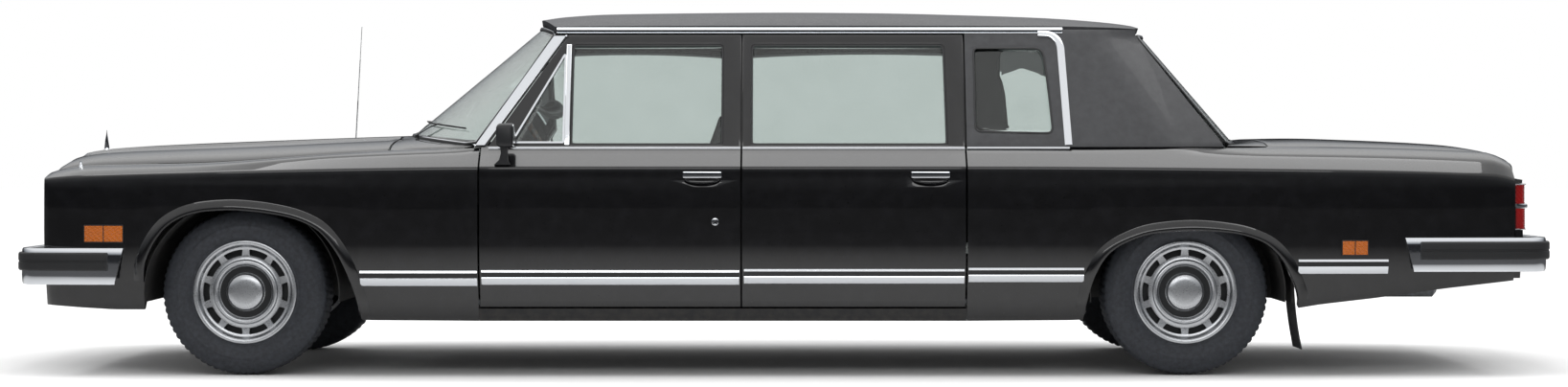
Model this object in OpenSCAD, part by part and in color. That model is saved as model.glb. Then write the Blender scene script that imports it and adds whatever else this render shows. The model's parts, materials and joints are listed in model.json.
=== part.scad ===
// Long four-door limousine: separate body panels on a ladder frame.
// The nose points along -X, the left side lies towards -Y and the ground is z = 0.

/* [Length, nose to tail] */
// Front of the bumper to the front axle
front_overhang = 946; // [920:1:980]
// Front axle to the front door opening
dash_len = 974; // [960:1:1000]
// Front door opening, along the side
front_door_len = 1075; // [1020:1:1120]
// Rear door opening, along the side
rear_door_len = 923; // [880:1:980]
// Rear door opening to the rear axle
quarter_len = 908; // [895:1:940]
// Rear axle to the back of the bumper
rear_overhang = 1514; // [1490:1:1560]

/* [Width and height] */
// Width of the body at the doors
body_w = 2088; // [2050:1:2120]
// Lower edge of the body sides
sill_h = 225; // [215:1:240]
// Belt line below the windows
belt_h = 944; // [930:1:960]
// Crown of the roof
roof_h = 1525; // [1500:1:1560]

/* [Panels] */
// Thickness of the wings and quarter panels
panel_t = 20; // [14:1:24]
// Thickness of the roof
roof_t = 30; // [22:1:36]
// Thickness of the bonnet and the boot lid
lid_t = 24; // [18:1:28]
// Depth of a door's window frame
door_frame_t = 38; // [32:1:42]
// Glass thickness
glass_t = 5; // [4:0.5:7]
// Gap between a door and the panel beside it
door_gap = 7; // [6:0.5:9]
// Gap round the bonnet and the boot lid
lid_gap = 8; // [7:0.5:10]
// Distance at which a held piece lies from its seat
seat_gap = 0.3; // [0.2:0.05:0.5]

/* [Wheels] */
// Tyre radius, which is also the height of the hubs
tyre_r = 342; // [334:1:350]
// Tyre width
tyre_w = 235; // [215:1:245]
// Radius of the rim's bead seat
rim_r = 203; // [198:1:208]
// Width of the rim between its flanges
rim_w = 190; // [170:1:200]
// Distance between the wheels of an axle, at their middles
track = 1642; // [1620:1:1660]
// Steering pivot to the middle of the wheel
pivot_offset = 80; // [74:1:90]
// Radius of the wheel bearing journal
journal_r = 28; // [24:1:34]
// Slots round the wheel cover
cover_slots = 10; // [8:1:12]

/* [Frame and axles] */
// Half distance between the outer faces of the frame rails
rail_y = 520; // [500:1:530]
// Width of a frame rail
rail_w = 80; // [70:1:95]
// Thickness of a towing lug, which is the length of its hole
tow_t = 24; // [18:1:30]
// Radius of the hole in a towing lug
tow_r = 16; // [12:1:20]
// Radius of the rear axle tube
axle_tube_r = 48; // [42:1:54]

/* [Cabin] */
// Radius of the steering wheel rim, at the middle of its section
steering_r = 196; // [180:1:205]
// Height of the seat cushions above the floor
// Bars in the grille
grille_bars = 24; // [12:1:28]

/* [Hidden] */
$fn = 48;

// Main stations along the car
half = body_w / 2;
body_len = front_overhang + dash_len + front_door_len + rear_door_len + quarter_len + rear_overhang;
x_nose = -body_len / 2;
x_front_axle = x_nose + front_overhang;
x_front_door = x_front_axle + dash_len;
x_mid_post = x_front_door + front_door_len;
x_rear_door_end = x_mid_post + rear_door_len;
x_rear_axle = x_rear_door_end + quarter_len;
x_tail = body_len / 2;

// The tables below use the drawing's own stations and heights. These two functions carry
// a drawn station or height to its place on the car as it is sized above.
STATIONS = [
    [-3170, x_nose], [-2224, x_front_axle], [-1250, x_front_door], [-175, x_mid_post],
    [748, x_rear_door_end], [1656, x_rear_axle], [3170, x_tail]
];
LEVELS = [[0, 0], [225, sill_h], [944, belt_h], [1525, roof_h], [1600, roof_h + 75]];
function sx(x) = lookup(x, STATIONS);
function sz(z) = lookup(z, LEVELS);
function placed(rows) = [for (r = rows) [sx(r[0]), sz(r[1])]];

// Body sides: how far the side lies inside the half width. Columns: station, inset.
PLAN = [for (r = [
    [-3060, 90], [-2980, 62], [-2900, 44], [-2700, 28], [-2432, 16], [-1800, 4], [-1250, 0],
    [748, 0], [1656, 4], [2100, 10], [2500, 24], [2800, 44], [3000, 69], [3060, 92]
]) [sx(r[0]), half - r[1]]];
// Columns: height, inset.
TUCK = [for (r = [
    [225, 88], [284, 62], [376, 38], [434, 18], [520, 4], [600, 0], [700, 0], [780, 2], [812, 4],
    [860, 6]
]) [sz(r[0]), r[1]]];
crease_in = 6;
shoulder_in = 75;
belt_in = 95;
cant_in = 282;
cant_z = sz(1446) - roof_t - door_gap;
// Columns: station, height.
CREASE = placed([
    [-3048, 812], [-2900, 822], [-2432, 837], [-1803, 850], [-1250, 856], [748, 858],
    [2206, 846], [2914, 827], [3010, 806], [3050, 790]
]);
SHOULDER = placed([
    [-3048, 826], [-2900, 845], [-2432, 862], [-1803, 906], [-1250, 921], [748, 921],
    [2206, 905], [2914, 883], [3010, 858], [3050, 840]
]);
// Inner top edge of the wings and quarters, beside the bonnet and the boot lid
TOP_EDGE = placed([
    [-3048, 838], [-3020, 850], [-2900, 866], [-2432, 876], [-1840, 915], [-1650, 928],
    [-1250, 938], [1800, 940], [2022, 943], [2206, 942], [2914, 920], [3000, 892], [3050, 850]
]);
hood_half_front = 712;
hood_half_rear = 770;
boot_half = 760;
// Columns: station, half width.
WING_IN = [for (r = [
    [-3048, hood_half_front], [-1650, hood_half_rear], [-1480, hood_half_rear + 20], [-1253, 918]
]) [sx(r[0]), (r[1] + lid_gap) * half / 1044]];

function side_half(x) = lookup(x, PLAN);
function side_y(x, z) = side_half(x) - lookup(z, TUCK);
// The greenhouse side leans in from the belt to the cant rail.
function glass_y(z) = half - belt_in - (cant_in - belt_in) * (z - belt_h) / (cant_z - belt_h);

// Polyhedron whose faces are all turned the way that its volume asks for
module closed(points, faces) {
    volumes = [for (f = faces, k = [1:len(f) - 2]) cross(points[f[0]], points[f[k]]) * points[f[k + 1]]];
    total = volumes * [for (v = volumes) 1];
    polyhedron(points, total < 0 ? faces : [for (f = faces) [for (i = [len(f) - 1:-1:0]) f[i]]]);
}

// Closed shell between an outer and an inner grid of points. Each section is a pair of
// rows, [outer, inner], and all rows have as many points.
module shell(sections) {
    n = len(sections[0][0]);
    m = len(sections);
    points = [for (s = sections) each concat(s[0], s[1])];
    function id(s, side, i) = (s * 2 + side) * n + i;
    function two(a, b, c, d) = [[a, b, c], [a, c, d]];
    skins = [for (s = [0:m - 2], i = [0:n - 2]) each concat(
        two(id(s, 0, i), id(s, 0, i + 1), id(s + 1, 0, i + 1), id(s + 1, 0, i)),
        two(id(s, 1, i), id(s + 1, 1, i), id(s + 1, 1, i + 1), id(s, 1, i + 1))
    )];
    rims = [for (s = [0:m - 2]) each concat(
        two(id(s, 0, 0), id(s + 1, 0, 0), id(s + 1, 1, 0), id(s, 1, 0)),
        two(id(s, 0, n - 1), id(s, 1, n - 1), id(s + 1, 1, n - 1), id(s + 1, 0, n - 1))
    )];
    ends = [for (i = [0:n - 2]) each concat(
        two(id(0, 0, i), id(0, 1, i), id(0, 1, i + 1), id(0, 0, i + 1)),
        two(id(m - 1, 0, i), id(m - 1, 0, i + 1), id(m - 1, 1, i + 1), id(m - 1, 1, i))
    )];
    closed(points, concat(skins, rims, ends));
}

// Solid between rings of points, closed by flat ends.
module loft(rings) {
    n = len(rings[0]);
    m = len(rings);
    walls = [for (s = [0:m - 2], i = [0:n - 1]) each [
        [s * n + i, s * n + (i + 1) % n, (s + 1) * n + (i + 1) % n],
        [s * n + i, (s + 1) * n + (i + 1) % n, (s + 1) * n + i]
    ]];
    ends = [[for (i = [n - 1:-1:0]) i], [for (i = [0:n - 1]) (m - 1) * n + i]];
    closed([for (r = rings) each r], concat(walls, ends));
}

// Upright plate: an outline of stations and heights, between two distances from the middle.
module side_plate(outline, y0, y1)
    translate([0, y1, 0]) rotate([90, 0, 0]) linear_extrude(y1 - y0) polygon(placed(outline));

// Plate across the car: an outline of widths and heights, between two stations.
module cross_plate(outline, x0, x1)
    translate([sx(x0), 0, 0]) rotate([90, 0, 90]) linear_extrude(sx(x1) - sx(x0))
        polygon([for (p = outline) [p[0], sz(p[1])]]);

// Flat plate: an outline of stations and widths, between two heights.
module floor_plate(outline, z0, z1)
    translate([0, 0, sz(z0)]) linear_extrude(sz(z1) - sz(z0))
        polygon([for (p = outline) [sx(p[0]), p[1]]]);

// Box between drawn stations and heights
module block(x0, x1, y0, y1, z0, z1)
    translate([sx(x0), y0, sz(z0)]) cube([sx(x1) - sx(x0), y1 - y0, sz(z1) - sz(z0)]);

// Round bar between two points
module bar(a, b, r) {
    d = b - a;
    translate(a) rotate([0, acos(d[2] / norm(d)), atan2(d[1], d[0])]) cylinder(h = norm(d), r = r);
}

// Round bar along a path. Its rings stand square to the path, which nowhere runs along "up".
module hose(path, radii, up, n = 10) {
    m = len(path) - 1;
    function unit(v) = v / norm(v);
    loft([for (i = [0:m])
        let (a = path[i] - path[max(i - 1, 0)], b = path[min(i + 1, m)] - path[i])
        let (d = i == 0 ? unit(b) : i == m ? unit(a) : unit(a) + unit(b))
        let (v = unit(cross(up, d)), w = unit(cross(d, v)))
        [for (k = [0:n - 1]) path[i] + radii[i] * (cos(k * 360 / n) * v + sin(k * 360 / n) * w)]
    ]);
}

module both_sides() {
    children();
    mirror([0, 1, 0]) children();
}

// Wheel arches. Columns: behind the hub, above the hub, on an arch that suits the tyre.
arch_gap = 60;
arch_k = (tyre_r + arch_gap) / 402;
ARCH_FRONT = [
    [-406, -70], [-397, 100], [-380, 155], [-342, 225], [-292, 280], [-207, 322], [-130, 336], [-40, 340],
    [52, 334], [130, 324], [208, 308], [306, 266], [371, 199], [423, 108], [478, -60], [486, -110]
];
ARCH_REAR = [
    [-426, -112], [-408, -18], [-378, 80], [-325, 163], [-250, 211], [-130, 247], [21, 256],
    [171, 247], [298, 211], [373, 148], [419, 72], [450, -2], [459, -63]
];
function arch_points(arch, x_axle) = [for (a = arch) [x_axle + a[0] * arch_k, tyre_r + a[1] * arch_k]];
FRONT_LOW = concat(
    placed([[-3050, 290], [-2760, 272]]), arch_points(ARCH_FRONT, x_front_axle), [[x_front_door, sill_h]]
);
REAR_LOW = concat(
    [[x_rear_door_end, sill_h]], arch_points(ARCH_REAR, x_rear_axle),
    placed([[2206, 294], [2430, 320], [2720, 359], [3050, 396]])
);
ROWS = [0, 0.1, 0.25, 0.45, 0.65, 0.82, 0.93];

// One upright section of a wing or quarter: side, crease, shoulder and top.
function wing_section(x, low, inner_y, nose_in = 0) =
    let (z0 = lookup(x, low), zc = lookup(x, CREASE), zs = lookup(x, SHOULDER), w = side_half(x))
    let (side = [for (r = ROWS) z0 + (zc - z0) * r])
    let (zt = lookup(x, TOP_EDGE), ys = w - shoulder_in - nose_in)
    [
        concat(
            [for (z = side) [x, side_y(x, z) - nose_in, z]],
            [[x, w - crease_in - nose_in, zc], [x, ys, zs], [x, (ys + inner_y) / 2, (zs + zt) / 2 + 4],
                [x, inner_y, zt]]
        ),
        concat(
            [for (z = side) [x, side_y(x, z) - nose_in - panel_t, z]],
            [[x, w - crease_in - nose_in - panel_t, zc - 8], [x, ys - 8, zs - panel_t],
                [x, (ys + inner_y) / 2, (zs + zt) / 2 + 4 - panel_t], [x, inner_y, zt - panel_t]]
        )
    ];

// Raised lip round a wheel arch
lip_w = 44;
lip_out = 16;
module arch_lip(arch, x_axle, count0, count1) {
    points = arch_points(arch, x_axle);
    loft([for (i = [count0:count1])
        let (p = points[i], away = [p[0] - x_axle, p[1] - tyre_r])
        let (q = p + away / norm(away) * lip_w, y = side_y(p[0], p[1]), yq = side_y(q[0], q[1]))
        [[p[0], y - 12, p[1]], [q[0], yq - 12, q[1]], [q[0], yq + 1, q[1]],
            [(p[0] + 2 * q[0]) / 3, (y + 2 * yq) / 3 + lip_out * 0.7, (p[1] + 2 * q[1]) / 3],
            [p[0], y + lip_out, p[1]]]
    ]);
}

module front_wings() color("#141416") both_sides() {
    arch = arch_points(ARCH_FRONT, x_front_axle);
    stations = concat(
        [for (x = [-3048, -3020, -2960, -2860, -2740]) sx(x)], [for (p = arch) p[0]],
        [for (x = [-1650, -1560, -1480, -1370]) sx(x)], [x_front_door - door_gap / 2]
    );
    shell([for (x = stations)
        wing_section(x, FRONT_LOW, lookup(x, WING_IN), x < sx(-3040) ? 14 : 0)]);
    arch_lip(ARCH_FRONT, x_front_axle, 1, len(ARCH_FRONT) - 2);
}

module rear_quarters() color("#141416") both_sides() {
    arch = arch_points(ARCH_REAR, x_rear_axle);
    stations = concat(
        [x_rear_door_end + door_gap / 2, sx(900), sx(1100)], [for (p = arch) p[0]],
        [for (x = [2206, 2430, 2600, 2720, 2850, 2950, 3005.6]) sx(x)]
    );
    inner = [for (r = [[740, 925], [1600, 925], [1826, boot_half + 90], [2010, boot_half + 8], [3050, boot_half + 8]])
        [sx(r[0]), r[1] * half / 1044]];
    shell([for (x = stations) wing_section(x, REAR_LOW, lookup(x, inner))]);
    arch_lip(ARCH_REAR, x_rear_axle, 1, len(ARCH_REAR) - 2);
}

tail_in = boot_half + 10;

// Outer cap of the tail on each side: it carries the tail lamps between its arms.
module tail_panel() color("#141416") {
    both_sides() {
        cross_plate([[tail_in, 812], [966, 806], [962, 791], [tail_in, 791]], 3006, 3036);
        cross_plate([[tail_in, 600], [976, 600], [976, 570], [925, 400], [tail_in, 400]], 3006, 3036);
        cross_plate([[tail_in, 600.5], [tail_in + 22, 600.5], [tail_in + 22, 789.5], [tail_in, 790]], 3006, 3036);
    }
    cross_plate([[-(tail_in - 0.5), 400], [(tail_in - 0.5), 400], [(tail_in - 0.5), 560], [-(tail_in - 0.5), 560]], 3006, 3030);
}

// Bonnet: crowned across, with a raised middle. Columns: station, edge height, middle height.
HOOD = placed([[-3046, 838], [-3020, 850], [-2900, 866], [-2600, 873], [-2432, 877], [-1840, 916],
    [-1652, 928]]);
HOOD_MID = placed([[-3046, 893], [-3020, 918], [-2900, 938], [-2600, 955], [-2432, 962], [-1840, 984],
    [-1652, 990]]);
// Columns: share of the half width, share of the crown.
HOOD_ACROSS = [[-1, 0], [-0.9, 0.3], [-0.72, 0.58], [-0.45, 0.8], [-0.4, 0.93], [0, 1],
    [0.4, 0.93], [0.45, 0.8], [0.72, 0.58], [0.9, 0.3], [1, 0]];
function hood_half(x) = (hood_half_front
    + (hood_half_rear - hood_half_front) * (x - sx(-3048)) / (sx(-1652) - sx(-3048))) * half / 1044;
function crown(x, edge, middle, share) = let (e = lookup(x, edge)) e + (lookup(x, middle) - e) * share;

module hood() color("#141416")
    shell([for (p = HOOD)
        let (x = p[0], row = [for (a = HOOD_ACROSS)
            [x, a[0] * hood_half(x), crown(x, HOOD, HOOD_MID, a[1])]])
        [[for (q = row) q + [0, 0, 0]], [for (q = row) q - [0, 0, lid_t]]]]);

module hood_ornament() color("#d8dade") {
    z0 = lookup(sx(-2990) + 14, HOOD_MID) + seat_gap;
    translate([sx(-2990), 0, z0]) cylinder(h = 12, r = 14);
    side_blade = [[-8, 11], [12, 11], [4, 60], [0, 88], [-5, 60]];
    translate([sx(-2990), 2, z0]) rotate([90, 0, 0]) linear_extrude(4) polygon(side_blade);
}

// Scuttle between the bonnet and the windscreen
screen_base_y = 905;
screen_top_y = 715;
function screen_base(u) = [sx(-1618) + 362 * pow(abs(u), 2.4), u * screen_base_y * half / 1044,
    sz(993 - 47 * u * u)];
function screen_top(u) = [sx(-1052) + 112 * pow(abs(u), 2.2), u * screen_top_y * half / 1044,
    sz(1489) - roof_t - 1 - (sz(1484) - sz(1444)) * pow(abs(u), 3)];
ACROSS = [-1, -0.88, -0.7, -0.45, 0, 0.45, 0.7, 0.88, 1];

module cowl() color("#141416") {
    reach = 0.84;
    shell([for (s = [0, 1])
        let (row = [for (a = ACROSS)
            let (u = a * reach, b = screen_base(u))
            s == 0 ? [sx(-1652) + lid_gap, b[1], crown(sx(-1652), HOOD, HOOD_MID,
                lookup(abs(b[1]) / hood_half_rear, [[0, 1], [0.4, 0.93], [0.45, 0.8], [0.72, 0.58], [0.9, 0.3],
                    [1, 0]]))]
                : [b[0] - 3, b[1], b[2] - 1.6]])
        [row, [for (q = row) q - [0, 0, 16]]]]);
}

module windscreen() color("#9fb3b0", 0.5)
    shell([for (s = [0, 0.5, 1])
        let (row = [for (u = ACROSS) screen_base(u) * (1 - s) + screen_top(u) * s])
        [row, [for (q = row) q + [glass_t, 0, -glass_t]]]]);

// Roof. Columns: station, height of the middle.
ROOF_MID = placed([[-1058, 1489], [-945, 1504], [-757, 1516], [-475, 1521], [0, 1525], [400, 1522],
    [768, 1513], [1112, 1500], [1373, 1480], [1502, 1464], [1540, 1452]]);
ROOF_EDGE = placed([[-1058, 1444], [-757, 1446], [0, 1448], [1112, 1446], [1330, 1442], [1540, 1438]]);
roof_side = glass_y(cant_z) - 12;
ROOF_HALF = [for (r = [[-1060, 0], [1200, 0], [1340, 12], [1470, 60], [1540, 86]]) [sx(r[0]), roof_side - r[1]]];
ROOF_ACROSS = [-1, -0.97, -0.9, -0.78, -0.5, 0, 0.5, 0.78, 0.9, 0.97, 1];

module roof() color("#1a1a1c")
    shell([for (i = [0:len(ROOF_MID) - 1])
        let (x = ROOF_MID[i][0], w = lookup(x, ROOF_HALF), e = lookup(x, ROOF_EDGE))
        let (sweep = i == 0 ? 100 : i == 1 ? 20 : i == len(ROOF_MID) - 1 ? -62 : 0)
        let (row = [for (u = ROOF_ACROSS)
            [x + sweep * pow(abs(u), 2.2), u * w, e + (ROOF_MID[i][1] - e) * (1 - pow(abs(u), 3.4))]])
        [row, [for (q = row) q - [0, 0, roof_t]]]]);

// Rear corner of the cabin behind the doors, with the opening for the quarter window.
// Columns: station of the front edge, window's rear edge, crease, rear edge, rear edge's width.
SAIL = [for (r = [
    [941.5, 753, 1190, 1600, 1822, 868], [1180, 753, 1176, 1462, 1646, 782], [1406, 753, 1162, 1330, 1474, 700]
]) [min(sz(r[0]), cant_z - 3), sx(r[1]), sx(r[2]), sx(r[3]), sx(r[4]), r[5] * half / 1044]];
QUARTER_WINDOW = [[785, 1000], [1115, 993], [1105, 1130], [1094, 1250], [1084, 1350], [1076, 1358], [784, 1358]];

module sail_panels() color("#2a2b2d") both_sides() difference() {
    shell([for (i = [1:4])
        let (ys = [for (s = SAIL) i == 4 ? s[5] : glass_y(s[0]) - (i == 3 ? 10 : 0)])
        [
            [for (k = [0:2]) [SAIL[k][i], ys[k], SAIL[k][0]]],
            [for (k = [0:2]) [SAIL[k][i] - (i == 4 ? 26 : 0), ys[k] - (i == 4 ? 30 : door_frame_t), SAIL[k][0]]]
        ]]);
    side_plate(QUARTER_WINDOW, 600, 1044);
}

function pane_point(p, depth) = [sx(p[0]), glass_y(sz(p[1])) - depth, sz(p[1])];
// Flat pane that lies in the leaning side of the cabin, some way behind its face
module pane(outline, depth)
    loft([[for (p = outline) pane_point(p, depth)], [for (p = outline) pane_point(p, depth + glass_t)]]);

module quarter_glass() color("#9fb3b0", 0.5) both_sides()
    pane([[785.6, 1000.6], [1114.4, 993.6], [1104.5, 1130], [1093.5, 1250], [1083.5, 1349.6], [1075.6, 1357.5],
        [784.6, 1357.5]], 14);

// Rear window: a wide pane that bows rearwards. Bottom and top as for the windscreen.
function rear_base(u) = [sx(2000) - 172 * pow(abs(u), 2.6), u * 828 * half / 1044, sz(966 - 16 * u * u)];
function rear_top(u) = [sx(1548) - 74 * pow(abs(u), 2.4), u * 662 * half / 1044, sz(1452) - roof_t - 2 - 12 * u * u];
module rear_window() color("#9fb3b0", 0.5)
    shell([for (s = [0, 0.5, 1])
        let (row = [for (u = ACROSS) rear_base(u) * (1 - s) + rear_top(u) * s])
        [row, [for (q = row) q - [glass_t, 0, glass_t]]]]);

// Boot lid: it wraps down over the tail between the lamps.
BOOT = placed([[2022, 944], [2206, 942], [2500, 934], [2800, 924], [2950, 908], [3010, 886]]);
BOOT_MID = placed([[2022, 976], [2206, 979], [2500, 971], [2800, 955], [2950, 930], [3010, 898]]);
BOOT_ACROSS = [[-1, 0], [-0.85, 0.5], [-0.5, 0.86], [0, 1], [0.5, 0.86], [0.85, 0.5], [1, 0]];
module boot_lid() color("#141416") {
    tail = [[3044, 850], [3046, 800], [3044, 568]];
    shell(concat(
        [for (p = BOOT) let (row = [for (a = BOOT_ACROSS)
            [p[0], a[0] * boot_half * half / 1044, crown(p[0], BOOT, BOOT_MID, a[1])]])
            [row, [for (q = row) q - [p[0] > sx(2960) ? 14 : 0, 0, lid_t]]]],
        [for (t = tail) let (row = [for (a = BOOT_ACROSS) [sx(t[0]), a[0] * boot_half * half / 1044, sz(t[1])]])
            [row, [for (q = row) q - [lid_t, 0, t[1] == 850 ? 8 : 0]]]]
    ));
}

// Doors. Their outer face follows the body side; the trailing edge is shorter on the inside,
// so that it swings out past the panel behind it.
door_inner = 133;
trail_bevel = 16;
door_low = sz(284);
DOOR_LEVELS = [for (z = [284, 376, 434, 520, 600, 700, 780, 812, 858]) sz(z)];
function door_face(z) = z <= sz(858) ? half - lookup(z, TUCK) : z < belt_h ? half - shoulder_in : glass_y(z);
DOOR_HEIGHTS = concat(DOOR_LEVELS, [sz(921), belt_h, cant_z]);
function door_back(z) = z < belt_h ? half - door_inner : glass_y(z) - door_frame_t;
module door_shell(x0, x1)
    shell([for (e = [[x0, 0], [x1, trail_bevel]])
        [[for (z = DOOR_HEIGHTS) [e[0], door_face(z), z]],
            [for (z = DOOR_HEIGHTS) [e[0] - e[1], door_back(z), z]]]]);

FRONT_WINDOW = [[-1122, 958], [-909, 958], [-909, 1330]];
FRONT_MAIN = [[-881, 948], [-251, 948], [-251, 1371], [-881, 1371]];
REAR_WINDOW = [[-137, 948], [675, 948], [668, 1371], [-137, 1371]];

module front_door() color("#141416") intersection() {
    difference() {
        door_shell(x_front_door + door_gap / 2, x_mid_post - door_gap / 2);
        side_plate(FRONT_WINDOW, 500, 1100);
        side_plate(FRONT_MAIN, 500, 1100);
    }
    side_plate([[-1246.4, 200], [-160, 200], [-160, 1500], [-835, 1500], [-1219, 944], [-1246.4, 915]], 500, 1100);
}

module rear_door() color("#141416") difference() {
    door_shell(x_mid_post + door_gap / 2, x_rear_door_end - door_gap / 2);
    side_plate(REAR_WINDOW, 500, 1100);
}

function shrunk(outline, d) = let (c = [for (k = [0, 1]) (max([for (p = outline) p[k]]) + min([for (p = outline) p[k]])) / 2])
    [for (p = outline) [for (k = [0, 1]) p[k] - sign(p[k] - c[k]) * d]];

module front_door_glass() color("#9fb3b0", 0.5) {
    pane([[-1120.6, 958.5], [-909.5, 958.5], [-909.5, 1328.4]], 14);
    pane(shrunk(FRONT_MAIN, 0.5), 14);
}
module rear_door_glass() color("#9fb3b0", 0.5) pane(shrunk(REAR_WINDOW, 0.6), 14);

// Side strip: a bright band along a panel, a little outside its face. The wing's own
// rows give the face where a lower edge is named, and the table of insets does elsewhere.
strip_out = 7;
function wing_face(x, z, low) =
    let (z0 = lookup(x, low), zc = lookup(x, CREASE))
    lookup(z, concat([for (r = ROWS) let (q = z0 + (zc - z0) * r) [q, side_y(x, q)]], [[zc, side_half(x) - crease_in]]));
module strip(x0, x1, z0, z1, low = undef) {
    between = [for (t = TUCK) if (t[0] > sz(z0) && t[0] < sz(z1)) t[0]];
    rows = is_undef(low) ? concat([sz(z0)], between, [sz(z1)]) : [for (k = [0:4]) sz(z0) + (sz(z1) - sz(z0)) * k / 4];
    off = is_undef(low) ? seat_gap : 3 * seat_gap;
    xs = [for (k = [0:4]) sx(x0) + (sx(x1) - sx(x0)) * k / 4];
    function face(x, z) = is_undef(low) ? side_y(x, z) : wing_face(x, z, low);
    shell([for (x = xs) [[for (z = rows) [x, face(x, z) + off + strip_out, z]], [for (z = rows) [x, face(x, z) + off, z]]]]);
}

module handle(x0) {
    y = door_face(sz(812)) + seat_gap;
    translate([sx(x0), y, sz(813)]) cube([161, 12, sz(841) - sz(813)]);
}

// Door mirror. Columns: height, front, rear, inner face, outer face.
module mirror_housing() {
    slope = [[sz(858), door_face(sz(858))], [sz(921), half - shoulder_in]];
    foot = [for (z = [868, 906]) lookup(sz(z), slope) + seat_gap];
    loft([for (s = [
        [868, -1196, -1110, foot[0], foot[0] + 20], [906, -1190, -1116, foot[1], foot[0] + 20],
        [937, -1182, -1112, half - 70, half + 20], [952, -1177, -1105, half - 66, half + 44],
        [1024, -1175, -1105, half - 62, half + 46], [1039, -1160, -1115, half - 50, half + 34]
    ]) [[sx(s[1]), s[3], sz(s[0])], [sx(s[2]), s[3], sz(s[0])], [sx(s[2]), s[4], sz(s[0])], [sx(s[1]), s[4], sz(s[0])]]]);
}

module front_fittings() color("#c9ccd0") {
    strip(-1239, -184, 376, 437);
    handle(-415);
    translate([sx(-282), side_y(sx(-282), sz(635)) + seat_gap, sz(635)]) rotate([-90, 0, 0]) cylinder(h = 5, r = 15);
    mirror_housing();
}
module rear_fittings() color("#c9ccd0") {
    strip(-166, 740, 381, 442);
    handle(519);
}

// Front end: the surround of the lamps and grille, and the panel below the bumper
module front_panel() color("#141416") {
    difference() {
        cross_plate([[-700, 530], [700, 530], [700, 806], [420, 834], [-420, 834], [-700, 806]], -3030, -3000);
        cross_plate([[-360, 545], [360, 545], [360, 820], [-360, 820]], -3040, -2990);
        both_sides() cross_plate([[385, 600], [685, 600], [685, 790], [385, 790]], -3040, -2990);
    }
    both_sides() cross_plate([[700.5, 560], [890, 560], [900, 800], [730, 804], [700.5, 800]], -3025, -3000);
    cross_plate([[-888, 285], [888, 285], [918, 500], [-918, 500]], -3000, -2980);
}

// Grille: upright bars in a bright frame, behind a top rail that follows the bonnet's edge
module grille() color("#c9ccd0") {
    w = 359.5;
    pitch = 2 * (w - 14) / grille_bars;
    difference() {
        cross_plate([[-w, 545.5], [w, 545.5], [w, 819.5], [-w, 819.5]], -3046, -3004);
        cross_plate([[-w + 14, 560], [w - 14, 560], [w - 14, 805], [-w + 14, 805]], -3060, -2990);
    }
    for (i = [1:grille_bars - 1])
        translate([sx(-3040), -w + 14 + i * pitch - 3, sz(560) - 1]) cube([22, 6, sz(805) - sz(560) + 2]);
    for (z = [620, 682, 744])
        translate([sx(-3034), -w + 13, sz(z)]) cube([8, 2 * w - 26, 5]);
}

module headlamps() color("#dfe4e6") both_sides() for (y = [385.3, 535.3])
    difference() {
        cross_plate([[y, 600.3], [y + 149.4, 600.3], [y + 149.4, 789.7], [y, 789.7]], -3044, -3004);
        translate([sx(-3051), y + 74, sz(695)]) rotate([0, 90, 0]) cylinder(h = 24, r = 64);
    }

module marker_lamps() color("#e07a1a") both_sides() {
    strip(-2872, -2705, 548, 622, FRONT_LOW);
    strip(2282, 2394, 495, 560, REAR_LOW);
}

module tail_lamps() color("#a01818") both_sides() {
    cross_plate([[tail_in + 23, 601], [962, 601], [962, 690], [tail_in + 23, 690]], 3006, 3062);
    cross_plate([[tail_in + 23, 706], [958, 706], [950, 780], [tail_in + 23, 789]], 3006, 3062);
    cross_plate([[tail_in + 23, 690.3], [960, 690.3], [960, 705.7], [tail_in + 23, 705.7]], 3006, 3068);
}

// Bumpers: half of a plan outline, from the side's end to the middle of the face
bumper_t = 14;
bumper_half = half - bumper_t - 0.5;
function bumper_plan(x_first, x_end, x_face) = let (s = sign(x_face), x1 = x_face - s * 175)
    [[sx(x_end), bumper_half - 10 * (x_end - x_first) / (x1 - x_first)], [sx(x1), bumper_half - 10],
        [sx(x_face - s * 44), bumper_half - 34], [sx(x_face - s * 6), bumper_half - 110],
        [sx(x_face), bumper_half - 300], [sx(x_face), 0]];
function away(a, b, s) = let (d = (b - a) / norm(b - a)) [-s * d[1], s * d[0]];
function moved_out(row, d) = let (s = sign(row[0][0]), n = len(row) - 1) [for (i = [0:n])
    let (n0 = away(row[max(i - 1, 0)], row[max(i, 1)], s), n1 = away(row[min(i, n - 1)], row[min(i + 1, n)], s))
    row[i] + (n0 + n1) / (1 + n0 * n1) * d];
function both_halves(row) = concat(row, [for (i = [len(row) - 2:-1:0]) [row[i][0], -row[i][1]]]);
module wrapped(row, z0, z1, t) {
    outer = both_halves(row);
    inner = both_halves(moved_out(row, -t));
    translate([0, 0, sz(z0)]) linear_extrude(sz(z1) - sz(z0))
        polygon(concat(outer, [for (i = [len(inner) - 1:-1:0]) inner[i]]));
}

face_x = 3170 - bumper_t - 2 * seat_gap;
module front_bumper() color("#d8dade") {
    wrapped(bumper_plan(-2706, -2706, -face_x), 376, 526, bumper_t);
    both_sides() block(seat_gap + 0.2 - face_x + bumper_t, -3000.3, 440, 500, 410, 490);
}
module rear_bumper() color("#d8dade") {
    wrapped(bumper_plan(2544, 2544, face_x), 429, 569, bumper_t);
    both_sides() block(3036.3, face_x - bumper_t - 0.2, 440, 500, 460, 540);
}
module bumper_rubbers() color("#1c1d1f") {
    wrapped(moved_out(bumper_plan(-2706, -2770, -face_x), bumper_t + seat_gap), 434, 508, bumper_t);
    wrapped(moved_out(bumper_plan(2544, 2608, face_x), bumper_t + seat_gap), 479, 553, bumper_t);
}

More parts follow.
